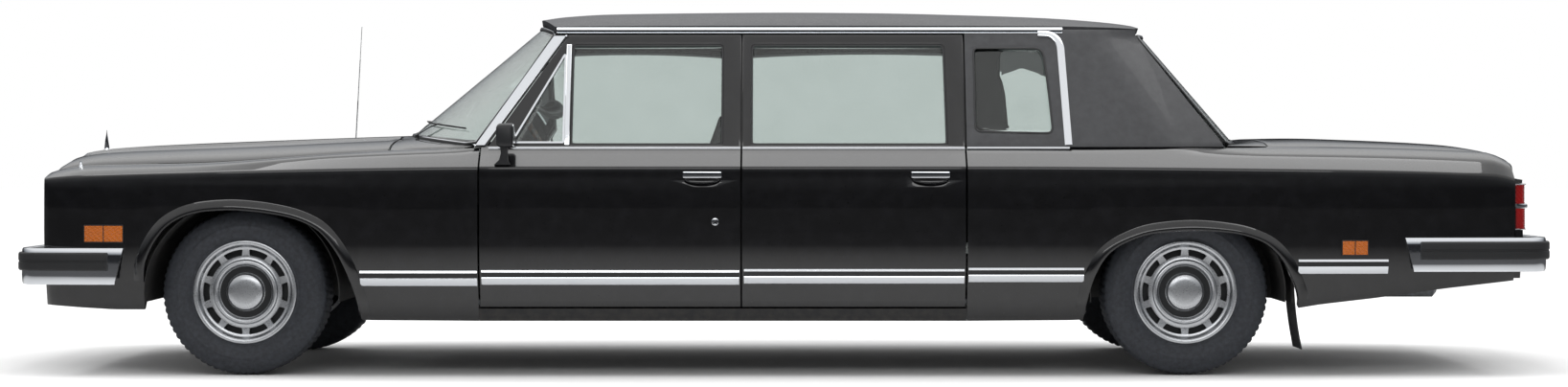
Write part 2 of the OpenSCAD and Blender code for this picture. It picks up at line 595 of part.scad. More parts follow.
// Bright trim on the body: side strips, cant rail moulding, screen pillar and quarter mouldings
module leaning_strip(a, b, w, out) {
    points = [a, b, b + [w, 0], a + [w, 0]];
    loft([[for (p = points) pane_point(p, -seat_gap - out)], [for (p = points) pane_point(p, -seat_gap)]]);
}
module body_trim() color("#d8dade") both_sides() {
    strip(-1690, -1257, 371, 434, FRONT_LOW);
    strip(756, 1212, 387, 447, REAR_LOW);
    strip(2130, 2475, 421, 481, REAR_LOW);
    side_plate([[-905, 1417], [1162, 1417], [1162, 1440], [-905, 1440]], roof_side + seat_gap, roof_side + 11);
    leaning_strip([1156, 960], [1128, 1405], 30, 6);
}

// Body structure behind the panels
rear_floor_z = 572;
boot_floor_z = 548;
floor_half = half - 194;
tunnel_half = 120;
boot_floor_half = 651.7;
module floor_pan() color("#26282a") {
    h = floor_half;
    cross_plate([[-h, 345], [-190, 345], [-150, 545], [150, 545], [190, 345], [h, 345], [h, 357], [200, 357],
        [160, 557], [-160, 557], [-200, 357], [-h, 357]], -1545, -1000);
    cross_plate([[-h, 345], [-120, 345], [-100, 443], [100, 443], [120, 345], [h, 345], [h, 357], [132, 357],
        [110, 455], [-110, 455], [-132, 357], [-h, 357]], -1000, 1240);
    difference() {
        block(1228, 1240, -h, h, 345, 584);
        block(1200, 1260, -tunnel_half, tunnel_half, 300, 443);
    }
    block(1228, 2092, -630, 630, rear_floor_z, 584);
    block(2080, 2092, -boot_floor_half, boot_floor_half, boot_floor_z, 584);
    block(2080, 2105, -boot_floor_half, boot_floor_half, boot_floor_z, 560);
    block(2104.3, 2996, -760, 760, boot_floor_z, 560);
    both_sides() cross_plate([[h - 4, 225], [half - 88, 225], [half - 62, 277], [h + 10, 277], [h + 10, 357],
        [h - 4, 357]], -1253.2, 751.2);
}

module inner_panels() color("#2c2e30") {
    // Bulkhead with a notch for the gearbox
    difference() {
        block(-1560, -1545.3, -floor_half, floor_half, 357.3, 905);
        block(-1580, -1530, -165, 165, 300, 565);
    }
    // Parcel shelf behind the rear seat
    block(1600.3, 2000, -720, 720, 915, 927);
    both_sides() {
        // Bay side and wheel housing of the front wheel, clear of the steered tyre
        block(-2720, -1700, 500, 512, 525, 800);
        block(-2720, -1700, 512, half - 60, 720, 732);
        // Housing of the rear wheel
        block(1242, 2104, 640, 652, 584.3, 740);
        block(1242, 2104, 652, half - 40, 728, 740);
        block(2092, 2104, 652, half - 114, 300, 728);
    }
}

post_clear = 6;
module pillars() color("#1b1c1e") both_sides() {
    // Screen pillar, bright moulding's base and door frame stop
    loft([for (s = [[939, -1277, -1229], [1408, -965, -902]])
        [[sx(s[1]), glass_y(sz(s[0])) - 37, sz(s[0])], [sx(s[2]), glass_y(sz(s[0])) - 37, sz(s[0])],
            [sx(s[2]), glass_y(sz(s[0])), sz(s[0])], [sx(s[1]), glass_y(sz(s[0])), sz(s[0])]]]);
    // Middle post, inside the two doors
    block(-208, -142, floor_half + 10 + seat_gap, half - door_inner - post_clear, 277.3, 944);
    loft([for (z = [944, 1408])
        let (y = glass_y(sz(z)) - door_frame_t - post_clear)
        [[sx(-205), y - 42, sz(z)], [sx(-145), y - 42, sz(z)], [sx(-145), y, sz(z)], [sx(-205), y, sz(z)]]]);
    // Cant rail under the roof
    translate([sx(-880), glass_y(cant_z) - door_frame_t - post_clear - 30, cant_z - 21])
        cube([sx(1160) - sx(-880), 30, 26]);
}

// Ladder frame
tow_y = rail_y - rail_w - 32;
module chassis_frame() color("#1e1f21") {
    both_sides() {
        side_plate([[-2979, 420], [-2979, 510], [-2650, 520], [-1900, 520], [-1600, 344.7], [1241, 344.7],
            [1330, 571.7], [2020, 571.7], [2079, 547.7], [2985, 547.7], [2985, 440], [2150, 440], [1980, 480],
            [1400, 480], [1230, 240], [-1560, 240], [-1860, 430], [-2650, 430]], rail_y - rail_w, rail_y);
        // Towing plates under the ends of the rail, front and rear, each with an upright hole
        for (end = [[-2972, 400], [2918, 420]]) translate([sx(end[0]), tow_y - 32, sz(end[1])])
            difference() {
                cube([64, rail_y - tow_y + 32, tow_t]);
                translate([32, 32, -1]) cylinder(h = tow_t + 2, r = tow_r);
            }
    }
    y = rail_y - rail_w - seat_gap;
    block(-2970, -2900, -y, y, 430, 500);
    cross_plate([[-y, 200], [y, 200], [y, 505], [y - 60, 505], [y - 60, 262], [60 - y, 262], [60 - y, 505],
        [-y, 505]], -2290, -2160);
    for (x = [-880, 340]) block(x, x + 70, -y, y, 244, 296);
    block(2110, 2170, -y, y, 452, 530);
    block(2915, 2985, -y, y, 452, 530);
}

module powertrain() color("#4a4d50") {
    block(-2500, -1760, -255, 255, 330, 830);
    bar([sx(-1760) + seat_gap, 0, sz(400)], [sx(-1100), 0, sz(400)], 105);
    bar([sx(-1100) + seat_gap, 0, sz(396)], [x_rear_axle - 142, 0, tyre_r], 34);
}

hub_y = track / 2;
module rear_axle() color("#2b2d2f") {
    bar([x_rear_axle, -640, tyre_r], [x_rear_axle, 640, tyre_r], axle_tube_r);
    translate([x_rear_axle, 100, tyre_r]) rotate([90, 0, 0]) cylinder(h = 200, r = 138);
    both_sides() {
        bar([x_rear_axle, 638, tyre_r], [x_rear_axle, hub_y + 40, tyre_r], journal_r);
        side_plate([[1404, 462], [1656, tyre_r + axle_tube_r + seat_gap + 0.4], [1974, 462], [1974, 479.6],
            [1656, 408], [1404, 479.6]], rail_y - rail_w + 10, rail_y - 10);
    }
}

pivot_y = hub_y - pivot_offset;
post_h = 125;
module front_suspension() color("#2b2d2f") both_sides() {
    top = tyre_r + post_h + seat_gap;
    translate([0, 0, top]) linear_extrude(16) polygon([
        [x_front_axle - 90, rail_y + seat_gap], [x_front_axle - 26, pivot_y + 20], [x_front_axle + 26, pivot_y + 20],
        [x_front_axle + 90, rail_y + seat_gap]]);
    translate([0, 0, tyre_r - post_h - seat_gap - 18]) linear_extrude(18) polygon([
        [x_front_axle - 60, rail_y - rail_w], [x_front_axle - 26, pivot_y + 20], [x_front_axle + 26, pivot_y + 20],
        [x_front_axle + 60, rail_y - rail_w]]);
    translate([x_front_axle, 590, tyre_r - post_h]) cylinder(h = 216, r = 38);
    translate([x_front_axle - 50, rail_y + seat_gap, tyre_r - post_h + 216.3]) cube([100, 120, 12]);
}

module knuckle() color("#55585b") {
    translate([x_front_axle, pivot_y, tyre_r - post_h]) cylinder(h = 2 * post_h, r = 20);
    bar([x_front_axle, pivot_y, tyre_r], [x_front_axle, hub_y + 40, tyre_r], journal_r);
    bar([x_front_axle, pivot_y + 4, tyre_r], [x_front_axle, hub_y - 28, tyre_r], 54);
    // Steering arm, which points rearwards inside the wheel
    translate([x_front_axle, pivot_y - 12, tyre_r - 60]) cube([120, 24, 14]);
}

module exhaust() color("#6a6d70") both_sides() {
    route = placed([[-1900, 562], [-1700, 470], [-1625, 290], [1262, 290], [1420, 505], [1900, 505], [2200, 356],
        [2430, 356], [2444, 356], [2736, 356], [2750, 356]]);
    widths = [330, 570, 575, 575, 575, 575, 600, 615, 615, 615, 615];
    hose([for (i = [0:len(route) - 1]) [route[i][0], widths[i], route[i][1]]],
        [24, 24, 24, 24, 24, 24, 24, 24, 47, 47, 30], [0, 1, 0]);
}

module fuel_tank() color("#3a3c3e") block(2200, 2800, -425, 425, 345, boot_floor_z - seat_gap);

module mud_flaps() color("#151515") both_sides()
    block(2104.3, 2112, 700, half - 124, 105, 420);

function screen_at(u, s, out) = screen_base(u) * (1 - s) + screen_top(u) * s + [-out * 0.6, 0, out * 0.8];
// Columns: foot, start and end of the blade, as shares of the screen's half width.
WIPERS = [[-0.5, -0.86, -0.34], [0.12, -0.14, 0.44]];
module wipers() color("#101010") for (w = WIPERS) {
    base = screen_base(w[0] + 0.02);
    foot = [base[0] - 14, base[1], base[2] + seat_gap];
    steps = 6;
    translate(foot) cylinder(h = 14, r = 9);
    middle = (w[1] + w[2]) / 2;
    hose([foot + [0, 0, 9], screen_at((w[0] + middle) / 2, 0.07, 20), screen_at(middle, 0.11, 16)], [5, 5, 5],
        [0, 0, 1], 8);
    hose([for (k = [0:steps]) screen_at(w[1] + (w[2] - w[1]) * k / steps, 0.11, 12)], [for (k = [0:steps]) 4],
        [0, 0, 1], 8);
}

antenna_x = -2010;
module antenna() color("#b8bbbf") {
    x = sx(antenna_x);
    foot = [x, (side_half(x) - shoulder_in + lookup(x, WING_IN)) / 2,
        (lookup(x + 12, SHOULDER) + lookup(x + 12, TOP_EDGE)) / 2 + 4 + seat_gap];
    translate(foot) cylinder(h = 24, r = 12);
    bar(foot + [0, 0, 10], foot + [33, 0, roof_h - foot[2] - 14], 2.5);
}

// Seats, dashboard and partition
module front_seats() color("#3b3d40") both_sides() {
    side_plate([[-940, 357.3], [-470, 357.3], [-430, 430], [-330, 560], [-252, 1076], [-318, 1080], [-480, 640],
        [-940, 652], [-972, 600], [-960, 440]], 150, 690);
    side_plate([[-300, 1060], [-268, 1060], [-262, 1090], [-258, 1238], [-276, 1252], [-322, 1246], [-332, 1110],
        [-318, 1090]], 300, 540);
}
module rear_seat() color("#3b3d40") difference() {
    side_plate([[930, 357.3], [1227.7, 357.3], [1227.7, 584.3], [1590, 584.3], [1600, 920], [1560, 985], [1500, 985],
        [1370, 668], [1000, 690], [930, 640]], -626, 626);
    block(900, 1235, -tunnel_half - 14, tunnel_half + 14, 300, 458);
}

steer_y = -400;
steer_tilt = 29;
steer_axis = [cos(steer_tilt), 0, sin(steer_tilt)];
steer_centre = [sx(-924), steer_y, sz(946)];
module dashboard() color("#1b1c1e") {
    side_plate([[-1545, 690], [-1545, 905], [-1330, 932], [-1190, 915], [-1170, 760], [-1250, 680]], -720, 720);
    bar(steer_centre - steer_axis * 330, steer_centre - steer_axis * 24, 24);
}
module partition() color("#3a3b3d") difference() {
    block(-138, -110, -820, 820, 357.3, 930);
    block(-150, -100, -tunnel_half - 14, tunnel_half + 14, 300, 458);
}

module steering_wheel() color("#101011") translate(steer_centre) rotate([0, 90 - steer_tilt, 0]) {
    rotate_extrude() translate([steering_r, 0]) circle(r = 12);
    translate([0, 0, -22]) cylinder(h = 34, r = 42);
    for (a = [0, 120, 240]) rotate([0, 90, a + 180]) cylinder(h = steering_r - 4, r = 9);
}

// Wheels. The profile lies at the wheel's middle plane, with the outer face upwards.
running_gap = 0.6;
cap_r = 72;
module wheel_solid() {
    b = rim_w / 2;
    difference() {
        rotate_extrude() polygon([
            [journal_r + running_gap, -18], [60, -18], [60, 40], [110, 58], [187, 62], [187, -b], [rim_r - seat_gap, -b],
            [rim_r - seat_gap, b], [rim_r + 10, b + 1], [rim_r + 10, b + 8], [rim_r - 4, b + 9], [189, b - 4],
            [183, 82], [147, 76], [128, 86], [118, 88], [106, 74], [cap_r + 6, 78], [cap_r, 92], [54, 98],
            [0, 100], [0, 52], [journal_r + running_gap, 52]
        ]);
        for (i = [0:cover_slots - 1]) rotate(i * 360 / cover_slots) translate([0, 0, 40]) linear_extrude(60)
            polygon([for (q = [[150, -12], [150, 12], [176, 14], [176, -14]])
                [q[0] * cos(q[1]), q[0] * sin(q[1])]]);
    }
}
module tyre_solid() {
    w = tyre_w / 2;
    side = [[rim_r, 93], [222, 98], [250, w - 4], [276, w], [300, w - 4], [tyre_r - 16, w - 18], [tyre_r - 4, w - 28],
        [tyre_r, w - 42]];
    inside = [[tyre_r - 18, w - 46], [290, w - 18], [250, w - 16], [rim_r, 76]];
    rotate_extrude() polygon(concat(side, [for (i = [len(side) - 1:-1:0]) [side[i][0], -side[i][1]]],
        [for (i = [len(inside) - 1:-1:0]) [inside[i][0], -inside[i][1]]], inside));
}
module at_hub(x, s) translate([x, s * hub_y, tyre_r]) rotate([-90 * s, 0, 0]) children();
module wheel(x, s) color("#b9bcc0") at_hub(x, s) wheel_solid();
module tyre(x, s) color("#1d1f21") at_hub(x, s) tyre_solid();

module left() mirror([0, 1, 0]) children();

chassis_frame();
floor_pan();
inner_panels();
cowl();
front_wings();
rear_quarters();
sail_panels();
front_panel();
tail_panel();
roof();
pillars();
windscreen();
rear_window();
quarter_glass();
grille();
headlamps();
front_bumper();
rear_bumper();
bumper_rubbers();
marker_lamps();
tail_lamps();
body_trim();
front_seats();
rear_seat();
dashboard();
partition();
powertrain();
rear_axle();
front_suspension();
exhaust();
fuel_tank();
mud_flaps();
wipers();
antenna();
hood();
hood_ornament();
boot_lid();
left() front_door();  // door_front_left
front_door();  // door_front_right
left() rear_door();  // door_rear_left
rear_door();  // door_rear_right
left() front_door_glass();  // glass_front_left
front_door_glass();  // glass_front_right
left() rear_door_glass();  // glass_rear_left
rear_door_glass();  // glass_rear_right
left() front_fittings();  // fittings_front_left
front_fittings();  // fittings_front_right
left() rear_fittings();  // fittings_rear_left
rear_fittings();  // fittings_rear_right
left() knuckle();  // knuckle_left
knuckle();  // knuckle_right
steering_wheel();
wheel(x_front_axle, -1);  // wheel_front_left
wheel(x_front_axle, 1);  // wheel_front_right
wheel(x_rear_axle, -1);  // wheel_rear_left
wheel(x_rear_axle, 1);  // wheel_rear_right
tyre(x_front_axle, -1);  // tyre_front_left
tyre(x_front_axle, 1);  // tyre_front_right
tyre(x_rear_axle, -1);  // tyre_rear_left
tyre(x_rear_axle, 1);  // tyre_rear_right
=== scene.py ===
# %% [markdown]
# # A long black limousine, dressed piece by piece
# The car's solids come from the CAD model, which is already packed. Here each of them
# gets the skin that the eye expects: lacquered panels with crisp edges, bright trim,
# glass, tyres and a cloth cabin. Nothing moves away from where the CAD puts it.

# %% Load the CAD frame
import json
import math

import bmesh
import bpy
import numpy as np
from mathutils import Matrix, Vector, noise

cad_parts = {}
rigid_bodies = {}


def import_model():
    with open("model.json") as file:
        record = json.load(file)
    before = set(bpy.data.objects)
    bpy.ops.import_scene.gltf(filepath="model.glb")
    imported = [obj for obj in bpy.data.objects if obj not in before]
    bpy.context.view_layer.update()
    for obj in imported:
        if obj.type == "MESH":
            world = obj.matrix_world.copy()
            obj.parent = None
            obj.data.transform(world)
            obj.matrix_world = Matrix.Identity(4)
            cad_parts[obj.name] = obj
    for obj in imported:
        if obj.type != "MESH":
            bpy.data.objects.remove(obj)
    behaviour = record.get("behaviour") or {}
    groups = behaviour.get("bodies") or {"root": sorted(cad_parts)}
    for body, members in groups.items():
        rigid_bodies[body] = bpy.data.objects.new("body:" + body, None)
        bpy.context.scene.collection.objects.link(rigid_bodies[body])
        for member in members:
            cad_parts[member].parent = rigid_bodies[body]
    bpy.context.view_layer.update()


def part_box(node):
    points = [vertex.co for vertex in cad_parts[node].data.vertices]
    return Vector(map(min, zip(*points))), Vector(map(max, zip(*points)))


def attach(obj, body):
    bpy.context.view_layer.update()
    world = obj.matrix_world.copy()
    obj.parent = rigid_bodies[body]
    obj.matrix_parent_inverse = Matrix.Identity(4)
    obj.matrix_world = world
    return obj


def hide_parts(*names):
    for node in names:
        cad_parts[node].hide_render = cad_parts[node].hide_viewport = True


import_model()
SIDES = {"left": -1, "right": 1}

# %% [markdown]
# ## Where the camera stands
# The photograph was taken from far away, level, straight at the left side. A long lens at
# 14 m gives the same slight narrowing of the far side, and a small downward shift puts the
# horizon above the middle of the frame without tilting the car.

# %% Camera
CAMERA_DISTANCE = 14.04
camera = bpy.data.objects.new("camera", bpy.data.cameras.new("camera"))
camera.data.sensor_width = 36
camera.data.lens = 73.0
camera.data.shift_y = -0.028
camera.location = (0, -CAMERA_DISTANCE, 0.93)
camera.rotation_euler = (math.pi / 2, 0, 0)
bpy.context.scene.collection.objects.link(camera)
bpy.context.scene.camera = camera
bpy.context.scene.view_settings.view_transform = "Standard"
print("camera", CAMERA_DISTANCE, "m from the middle, lens", camera.data.lens)

# %% [markdown]
# ## Colours and nodes
# Colours are written as on a paint card, in sRGB, and turned to linear light once. One
# small function adds any node with its settings and its links, so that each finish below
# reads as a short recipe.

# %% Helpers for materials
def linear(card):
    """A colour card such as #0b0b0d, as linear light."""
    parts = [int(card[i:i + 2], 16) / 255 for i in (1, 3, 5)]
    return [c / 12.92 if c < 0.04045 else ((c + 0.055) / 1.055) ** 2.4 for c in parts] + [1.0]


def add(tree, kind, links=(), **settings):
    """A node of a kind. Settings name its sockets by number, as s0, or its own properties,
    and links are pairs of a socket and the output that feeds it."""
    made = tree.nodes.new(kind)
    for key, value in settings.items():
        if key[0] == "s" and key[1:].isdigit():
            made.inputs[int(key[1:])].default_value = value
        else:
            setattr(made, key, value)
    for socket, output in links:
        tree.links.new(output, made.inputs[socket])
    return made


def place(tree, scale):
    """Object coordinates, stretched: scale counts repeats to the metre, along all axes or each."""
    where = add(tree, "ShaderNodeTexCoord")
    scale = (scale,) * 3 if isinstance(scale, (int, float)) else scale
    return add(tree, "ShaderNodeMapping", [(0, where.outputs["Object"])], s3=scale).outputs[0]


def ramp(tree, value, low, high, start=0.0, end=1.0):
    """Value, carried from its own range to another one."""
    return add(tree, "ShaderNodeMapRange", [(0, value)], s1=low, s2=high, s3=start, s4=end).outputs[0]


def speckle(tree, scale, detail=4.0):
    return add(tree, "ShaderNodeTexNoise", [(0, place(tree, scale))], s3=detail, s4=0.55).outputs[0]


def coloured(tree, shader, value, first, second):
    """Gives a shader one colour that turns into another as value goes from 0 to 1."""
    made = add(tree, "ShaderNodeMix", [(0, value)], data_type="RGBA", s6=linear(first), s7=linear(second))
    tree.links.new(made.outputs[2], shader.inputs["Base Color"])


def bumped(tree, shader, height, strength, distance):
    made = add(tree, "ShaderNodeBump", [("Height", height)])
    made.inputs["Strength"].default_value, made.inputs["Distance"].default_value = strength, distance
    tree.links.new(made.outputs[0], shader.inputs["Normal"])


def finish(name, colour, slot=None, metallic=0.0, roughness=0.5, patches=(), gloss=(), bumps=(), **sockets):
    """A new material with its nodes and its shader. Three soft noises may vary it:
    patches = scale, detail, the noise's two limits and the two colours between them;
    gloss = scale and the roughness at both ends; bumps = scale, detail, strength, metres.
    The slot argument is not used."""
    made = bpy.data.materials.new(name)
    made.use_nodes = True
    made.diffuse_color = linear(colour)
    tree = made.node_tree
    shader = tree.nodes["Principled BSDF"]
    sockets |= {"Base_Color": linear(colour), "Metallic": metallic, "Roughness": roughness}
    for key, value in sockets.items():
        shader.inputs[key.replace("_", " ")].default_value = value
    if patches:
        scale, detail, low, high, *colours = patches
        coloured(tree, shader, ramp(tree, speckle(tree, scale, detail), low, high), *colours)
    if gloss:
        tree.links.new(ramp(tree, speckle(tree, gloss[0]), 0.25, 0.75, *gloss[1:]), shader.inputs["Roughness"])
    if bumps:
        bumped(tree, shader, speckle(tree, *bumps[:2]), *bumps[2:])
    return made, tree, shader


print("helpers for materials are ready")

# %% [markdown]
# ## Lacquer
# Coachwork enamel is sprayed in several coats and then cleared. The eye sees a near-black
# colour, a sharp reflection from the clear coat, and a very soft waviness of a few
# centimetres. The roof and its rear corners carry a duller dark grey covering.

# %% Body finishes
enamel = finish("gloss_black_enamel", "#0a0a0c", "paint", patches=(3.1, 6, 0.45, 0.85, "#08080a", "#131316"),
                gloss=(26, 0.26, 0.4), bumps=(9, 2, 0.05, 0.004), Specular_IOR_Level=0.15,
                Coat_Weight=1.0, Coat_Roughness=0.03)[0]
vinyl, tree, shader = finish("grained_dark_vinyl", "#2b2c2f", "paint_matte", gloss=(30, 0.4, 0.56),
                             patches=(5, 4, 0.3, 0.7, "#26272a", "#323336"), Coat_Weight=0.15)
# Grain pitch of the real covering is about 1.5 mm; it is drawn at 4 mm so that it shows.
grain = add(tree, "ShaderNodeTexVoronoi", [(0, place(tree, 250))]).outputs[0]
bumped(tree, shader, grain, 0.12, 0.0006)
under = finish("sprayed_underseal", "#1c1d1f", "underbody", roughness=0.75, bumps=(160, 3, 0.35, 0.0012),
               patches=(6, 8, 0.35, 0.7, "#18191b", "#2c2a28"))[0]
shut_enamel = finish("door_shut_enamel", "#0d0d0f", "paint", gloss=(20, 0.3, 0.45), Coat_Weight=0.4)[0]
print("body finishes:", enamel.name, vinyl.name, under.name, shut_enamel.name)

# %% [markdown]
# ## Bright metal
# Bumpers and mouldings are chromium on polished metal: almost a mirror, a touch blue, with
# faint wiping marks. Wheel covers are stamped stainless steel, brushed in rings; rails and
# rods are plain steel.

# %% Metals
chrome = finish("chromium_plate", "#dfe2e6", "chrome", 1.0, gloss=((14, 14, 90), 0.03, 0.11))[0]
stainless = finish("stamped_stainless", "#b9bbbe", "wheel_silver", 1.0, gloss=(40, 0.24, 0.36),
                   bumps=((300, 300, 900), 2, 0.03, 0.0003))[0]
steel = finish("machined_steel", "#8b8e92", "steel", 1.0, gloss=(30, 0.34, 0.55),
               patches=(8, 6, 0.4, 0.8, "#84878b", "#5c5a58"))[0]
cast = finish("cast_iron_painted", "#3a3c3f", "steel", 0.3, gloss=(18, 0.5, 0.72),
              bumps=(220, 4, 0.3, 0.0008))[0]
silver = finish("silvered_reflector", "#e6e8ea", "chrome", 1.0, gloss=(30, 0.08, 0.16))[0]
print("metals:", chrome.name, stainless.name, steel.name, cast.name)

# %% [markdown]
# ## Glass and lamps
# Safety glass is nearly clear, with a green-grey body tint that grows with its thickness.
# Lamp glass is pressed with fine upright flutes, which break the light inside it.

# %% Glass
def glassy(name, slot, colour, other, flutes=0, weight=1.0, roughness=0.0):
    made, tree, shader = finish(name, colour, slot, roughness=roughness, IOR=1.5, Transmission_Weight=weight)
    coloured(tree, shader, speckle(tree, 1.2, 1), colour, other)
    if flutes:
        ribs = add(tree, "ShaderNodeTexWave", [(0, place(tree, flutes))], bands_direction="DIAGONAL", s1=1.0)
        bumped(tree, shader, ribs.outputs[1], 0.5, 0.002)
    return made


glass = glassy("green_tinted_glass", "glass", "#d2dad7", "#dbe2e0")
lamp_glass = glassy("fluted_lamp_glass", "lamp_clear", "#eef2f4", "#e6ecf0", flutes=14)
amber = glassy("amber_lens", "lamp_orange", "#d9730d", "#c9660a", flutes=30, weight=0.35, roughness=0.12)
red_lens = glassy("red_lens", "lamp_red", "#a3100f", "#8c0c0d", flutes=30, weight=0.3, roughness=0.12)
print("glass:", glass.name, lamp_glass.name, amber.name, red_lens.name)

# %% [markdown]
# ## Rubber, plastic, cloth and leather
# Tyres are carbon-black rubber that has greyed in the light. Seals and bumper strips are
# smoother. Dash and door caps are grained vinyl over foam; the seats are a dense grey cloth,
# whose threads are about 1 mm apart.

# %% Soft finishes
rubber = finish("moulded_rubber", "#17181a", "rubber", gloss=(60, 0.45, 0.66), bumps=(400, 2, 0.08, 0.0004))[0]
tread = finish("tyre_rubber", "#23262b", "tyre", patches=(12, 6, 0.35, 0.7, "#202328", "#30333a"),
               gloss=(70, 0.6, 0.8), bumps=(260, 3, 0.12, 0.0006))[0]
# This matt black is the covers' dish, and also the ring of painted shade behind their slots.
dish = finish("matt_black_dish_and_slot_shade", "#1b1c1e", "plastic", 0.4, gloss=(50, 0.4, 0.6))[0]
plastic, tree, shader = finish("grained_black_plastic", "#141518", "plastic", gloss=(50, 0.36, 0.54))
# Moulded grain of about 1 mm, drawn at 2 mm.
bumped(tree, shader, add(tree, "ShaderNodeTexVoronoi", [(0, place(tree, 500))]).outputs[0], 0.15, 0.0004)
cloth, tree, shader = finish("grey_seat_cloth", "#4a4c50", "upholstery", roughness=0.9, Sheen_Weight=0.35,
                             Sheen_Roughness=0.5, patches=(9, 6, 0.3, 0.7, "#3e4045", "#585a5f"))
# Threads stand 1 mm apart on the real cloth; here 3 mm, so that the weave shows.
warp = add(tree, "ShaderNodeTexWave", [(0, place(tree, 52))], bands_direction="X").outputs[1]
weft = add(tree, "ShaderNodeTexWave", [(0, place(tree, 52))], bands_direction="Z").outputs[1]
weave = add(tree, "ShaderNodeMath", [(0, warp), (1, weft)], operation="MULTIPLY").outputs[0]
bumped(tree, shader, weave, 0.3, 0.0006)
leather, tree, shader = finish("black_leather", "#1a1a1c", "upholstery", gloss=(25, 0.36, 0.52),
                               Coat_Weight=0.1)
creases = add(tree, "ShaderNodeTexVoronoi", [(0, place(tree, 330))], feature="DISTANCE_TO_EDGE").outputs[0]
bumped(tree, shader, creases, 0.2, 0.0006)
headcloth = finish("pale_headcloth", "#8d8c88", "upholstery", gloss=(40, 0.85, 0.98),
                   bumps=(300, 2, 0.3, 0.0006))[0]
walnut, tree, shader = finish("walnut_veneer", "#4a2d1b", "plastic", roughness=0.25, Coat_Weight=0.6)
figure = add(tree, "ShaderNodeTexWave", [(0, place(tree, (3, 9, 30)))], s1=1.0, s2=6.0, s3=3.0)
coloured(tree, shader, figure.outputs[1], "#3b2214", "#6b4428")
print("soft finishes:", [m.name for m in (rubber, tread, dish, plastic, cloth, leather, headcloth, walnut)])

# %% [markdown]
# ## Studio
# A wide soft box over the car and a pale surround: black lacquer has no light of its own, so
# all its shape is read from what it mirrors. The surround is bright above and greyer low
# down, where a real studio floor falls away, and the camera sees plain white.

# %% Light, surround and floor
world = bpy.data.worlds.new("studio")
bpy.context.scene.world = world
world.use_nodes = True
tree = world.node_tree
tree.nodes.clear()
path = add(tree, "ShaderNodeLightPath")
look = add(tree, "ShaderNodeTexCoord")
height = add(tree, "ShaderNodeSeparateXYZ", [(0, look.outputs["Generated"])]).outputs[2]
sky = add(tree, "ShaderNodeValToRGB", [(0, ramp(tree, height, -0.3, 1.0))])
steps = [(0.0, "#77797c"), (0.12, "#4a4b4e"), (0.2, "#2b2c2e"), (0.28, "#242528"), (0.4, "#a4a7ab"),
         (0.6, "#ffffff")]
for k, (at, card) in enumerate(steps):
    stop = sky.color_ramp.elements[k] if k < 2 else sky.color_ramp.elements.new(at)
    stop.position, stop.color = at, linear(card)
WHITE = (1, 1, 1, 1)
plain = add(tree, "ShaderNodeBackground", s0=WHITE, s1=0.62)
mirrored_room = add(tree, "ShaderNodeBackground", [(0, sky.outputs[0])], s1=1.0)
seen = add(tree, "ShaderNodeBackground", s0=WHITE, s1=1.0)
rays = [(0, path.outputs["Is Camera Ray"]), (1, path.outputs["Is Transmission Ray"])]
clear = add(tree, "ShaderNodeMath", rays, operation="MAXIMUM").outputs[0]
shiny = add(tree, "ShaderNodeMixShader", [(0, path.outputs["Is Glossy Ray"]), (1, plain.outputs[0]),
                                          (2, mirrored_room.outputs[0])]).outputs[0]
whole = add(tree, "ShaderNodeMixShader", [(0, clear), (1, shiny), (2, seen.outputs[0])]).outputs[0]
add(tree, "ShaderNodeOutputWorld", [(0, whole)])


def lamp(name, place_at, aim, size, watts):
    made = bpy.data.objects.new(name, bpy.data.lights.new(name, "AREA"))
    made.data.shape, made.data.size, made.data.size_y, made.data.energy = "RECTANGLE", *size, watts
    made.location = place_at
    made.rotation_euler = aim
    bpy.context.scene.collection.objects.link(made)


lamp("overhead_soft_box", (0, -0.6, 5.2), (0, 0, 0), (9.0, 4.0), 330)
lamp("side_fill", (0, -9.5, 4.6), (math.radians(58), 0, 0), (9.0, 1.6), 130)

floor_finish, tree, shader = finish("pale_studio_floor", "#f2f2f2", roughness=0.85, bumps=(40, 4, 0.02, 0.001))
path = add(tree, "ShaderNodeLightPath")
# The camera sees the floor brighter away from the car, so that the shadow stays deep.
away = add(tree, "ShaderNodeVectorMath", [(0, place(tree, (0.29, 0.62, 1)))], operation="LENGTH").outputs[1]
glow = [(0, path.outputs["Is Camera Ray"]), (1, ramp(tree, away, 0.85, 1.3, 0.0, 0.5))]
light = add(tree, "ShaderNodeMath", glow, operation="MULTIPLY").outputs[0]
tree.links.new(light, shader.inputs["Emission Strength"])
shader.inputs["Emission Color"].default_value = WHITE
# Painted reflection: in glossy rays only, the floor turns from pale close by to dark grey farther off,
# as a dark hall for the lacquer to mirror. Camera and diffuse rays see it pale.
dark = [(0, path.outputs["Is Glossy Ray"]), (1, ramp(tree, away, 1.0, 2.6))]
mirrored = add(tree, "ShaderNodeMath", dark, operation="MULTIPLY").outputs[0]
coloured(tree, shader, mirrored, "#f2f2f2", "#3a3a3c")
FLOOR_REACH, FLOOR_Z = 60, -0.001
corners = [(x * FLOOR_REACH, y * FLOOR_REACH, FLOOR_Z) for x, y in ((-1, -1), (1, -1), (1, 1), (-1, 1))]
floor = bpy.data.objects.new("studio_floor", bpy.data.meshes.new("studio_floor"))
floor.data.from_pydata(corners, [], [(0, 1, 2, 3)])
floor.data.materials.append(floor_finish)
bpy.context.scene.collection.objects.link(floor)
print("studio: two soft boxes, white surround, pale floor")

# %% [markdown]
# ## Tables turned into smooth lines
# The body is drawn by a few tables of stations and heights, in millimetres. A curve that
# never overshoots its rows joins them, so that reflections run along the panels without
# kinks. Front is towards -X and the driver's side is -Y.

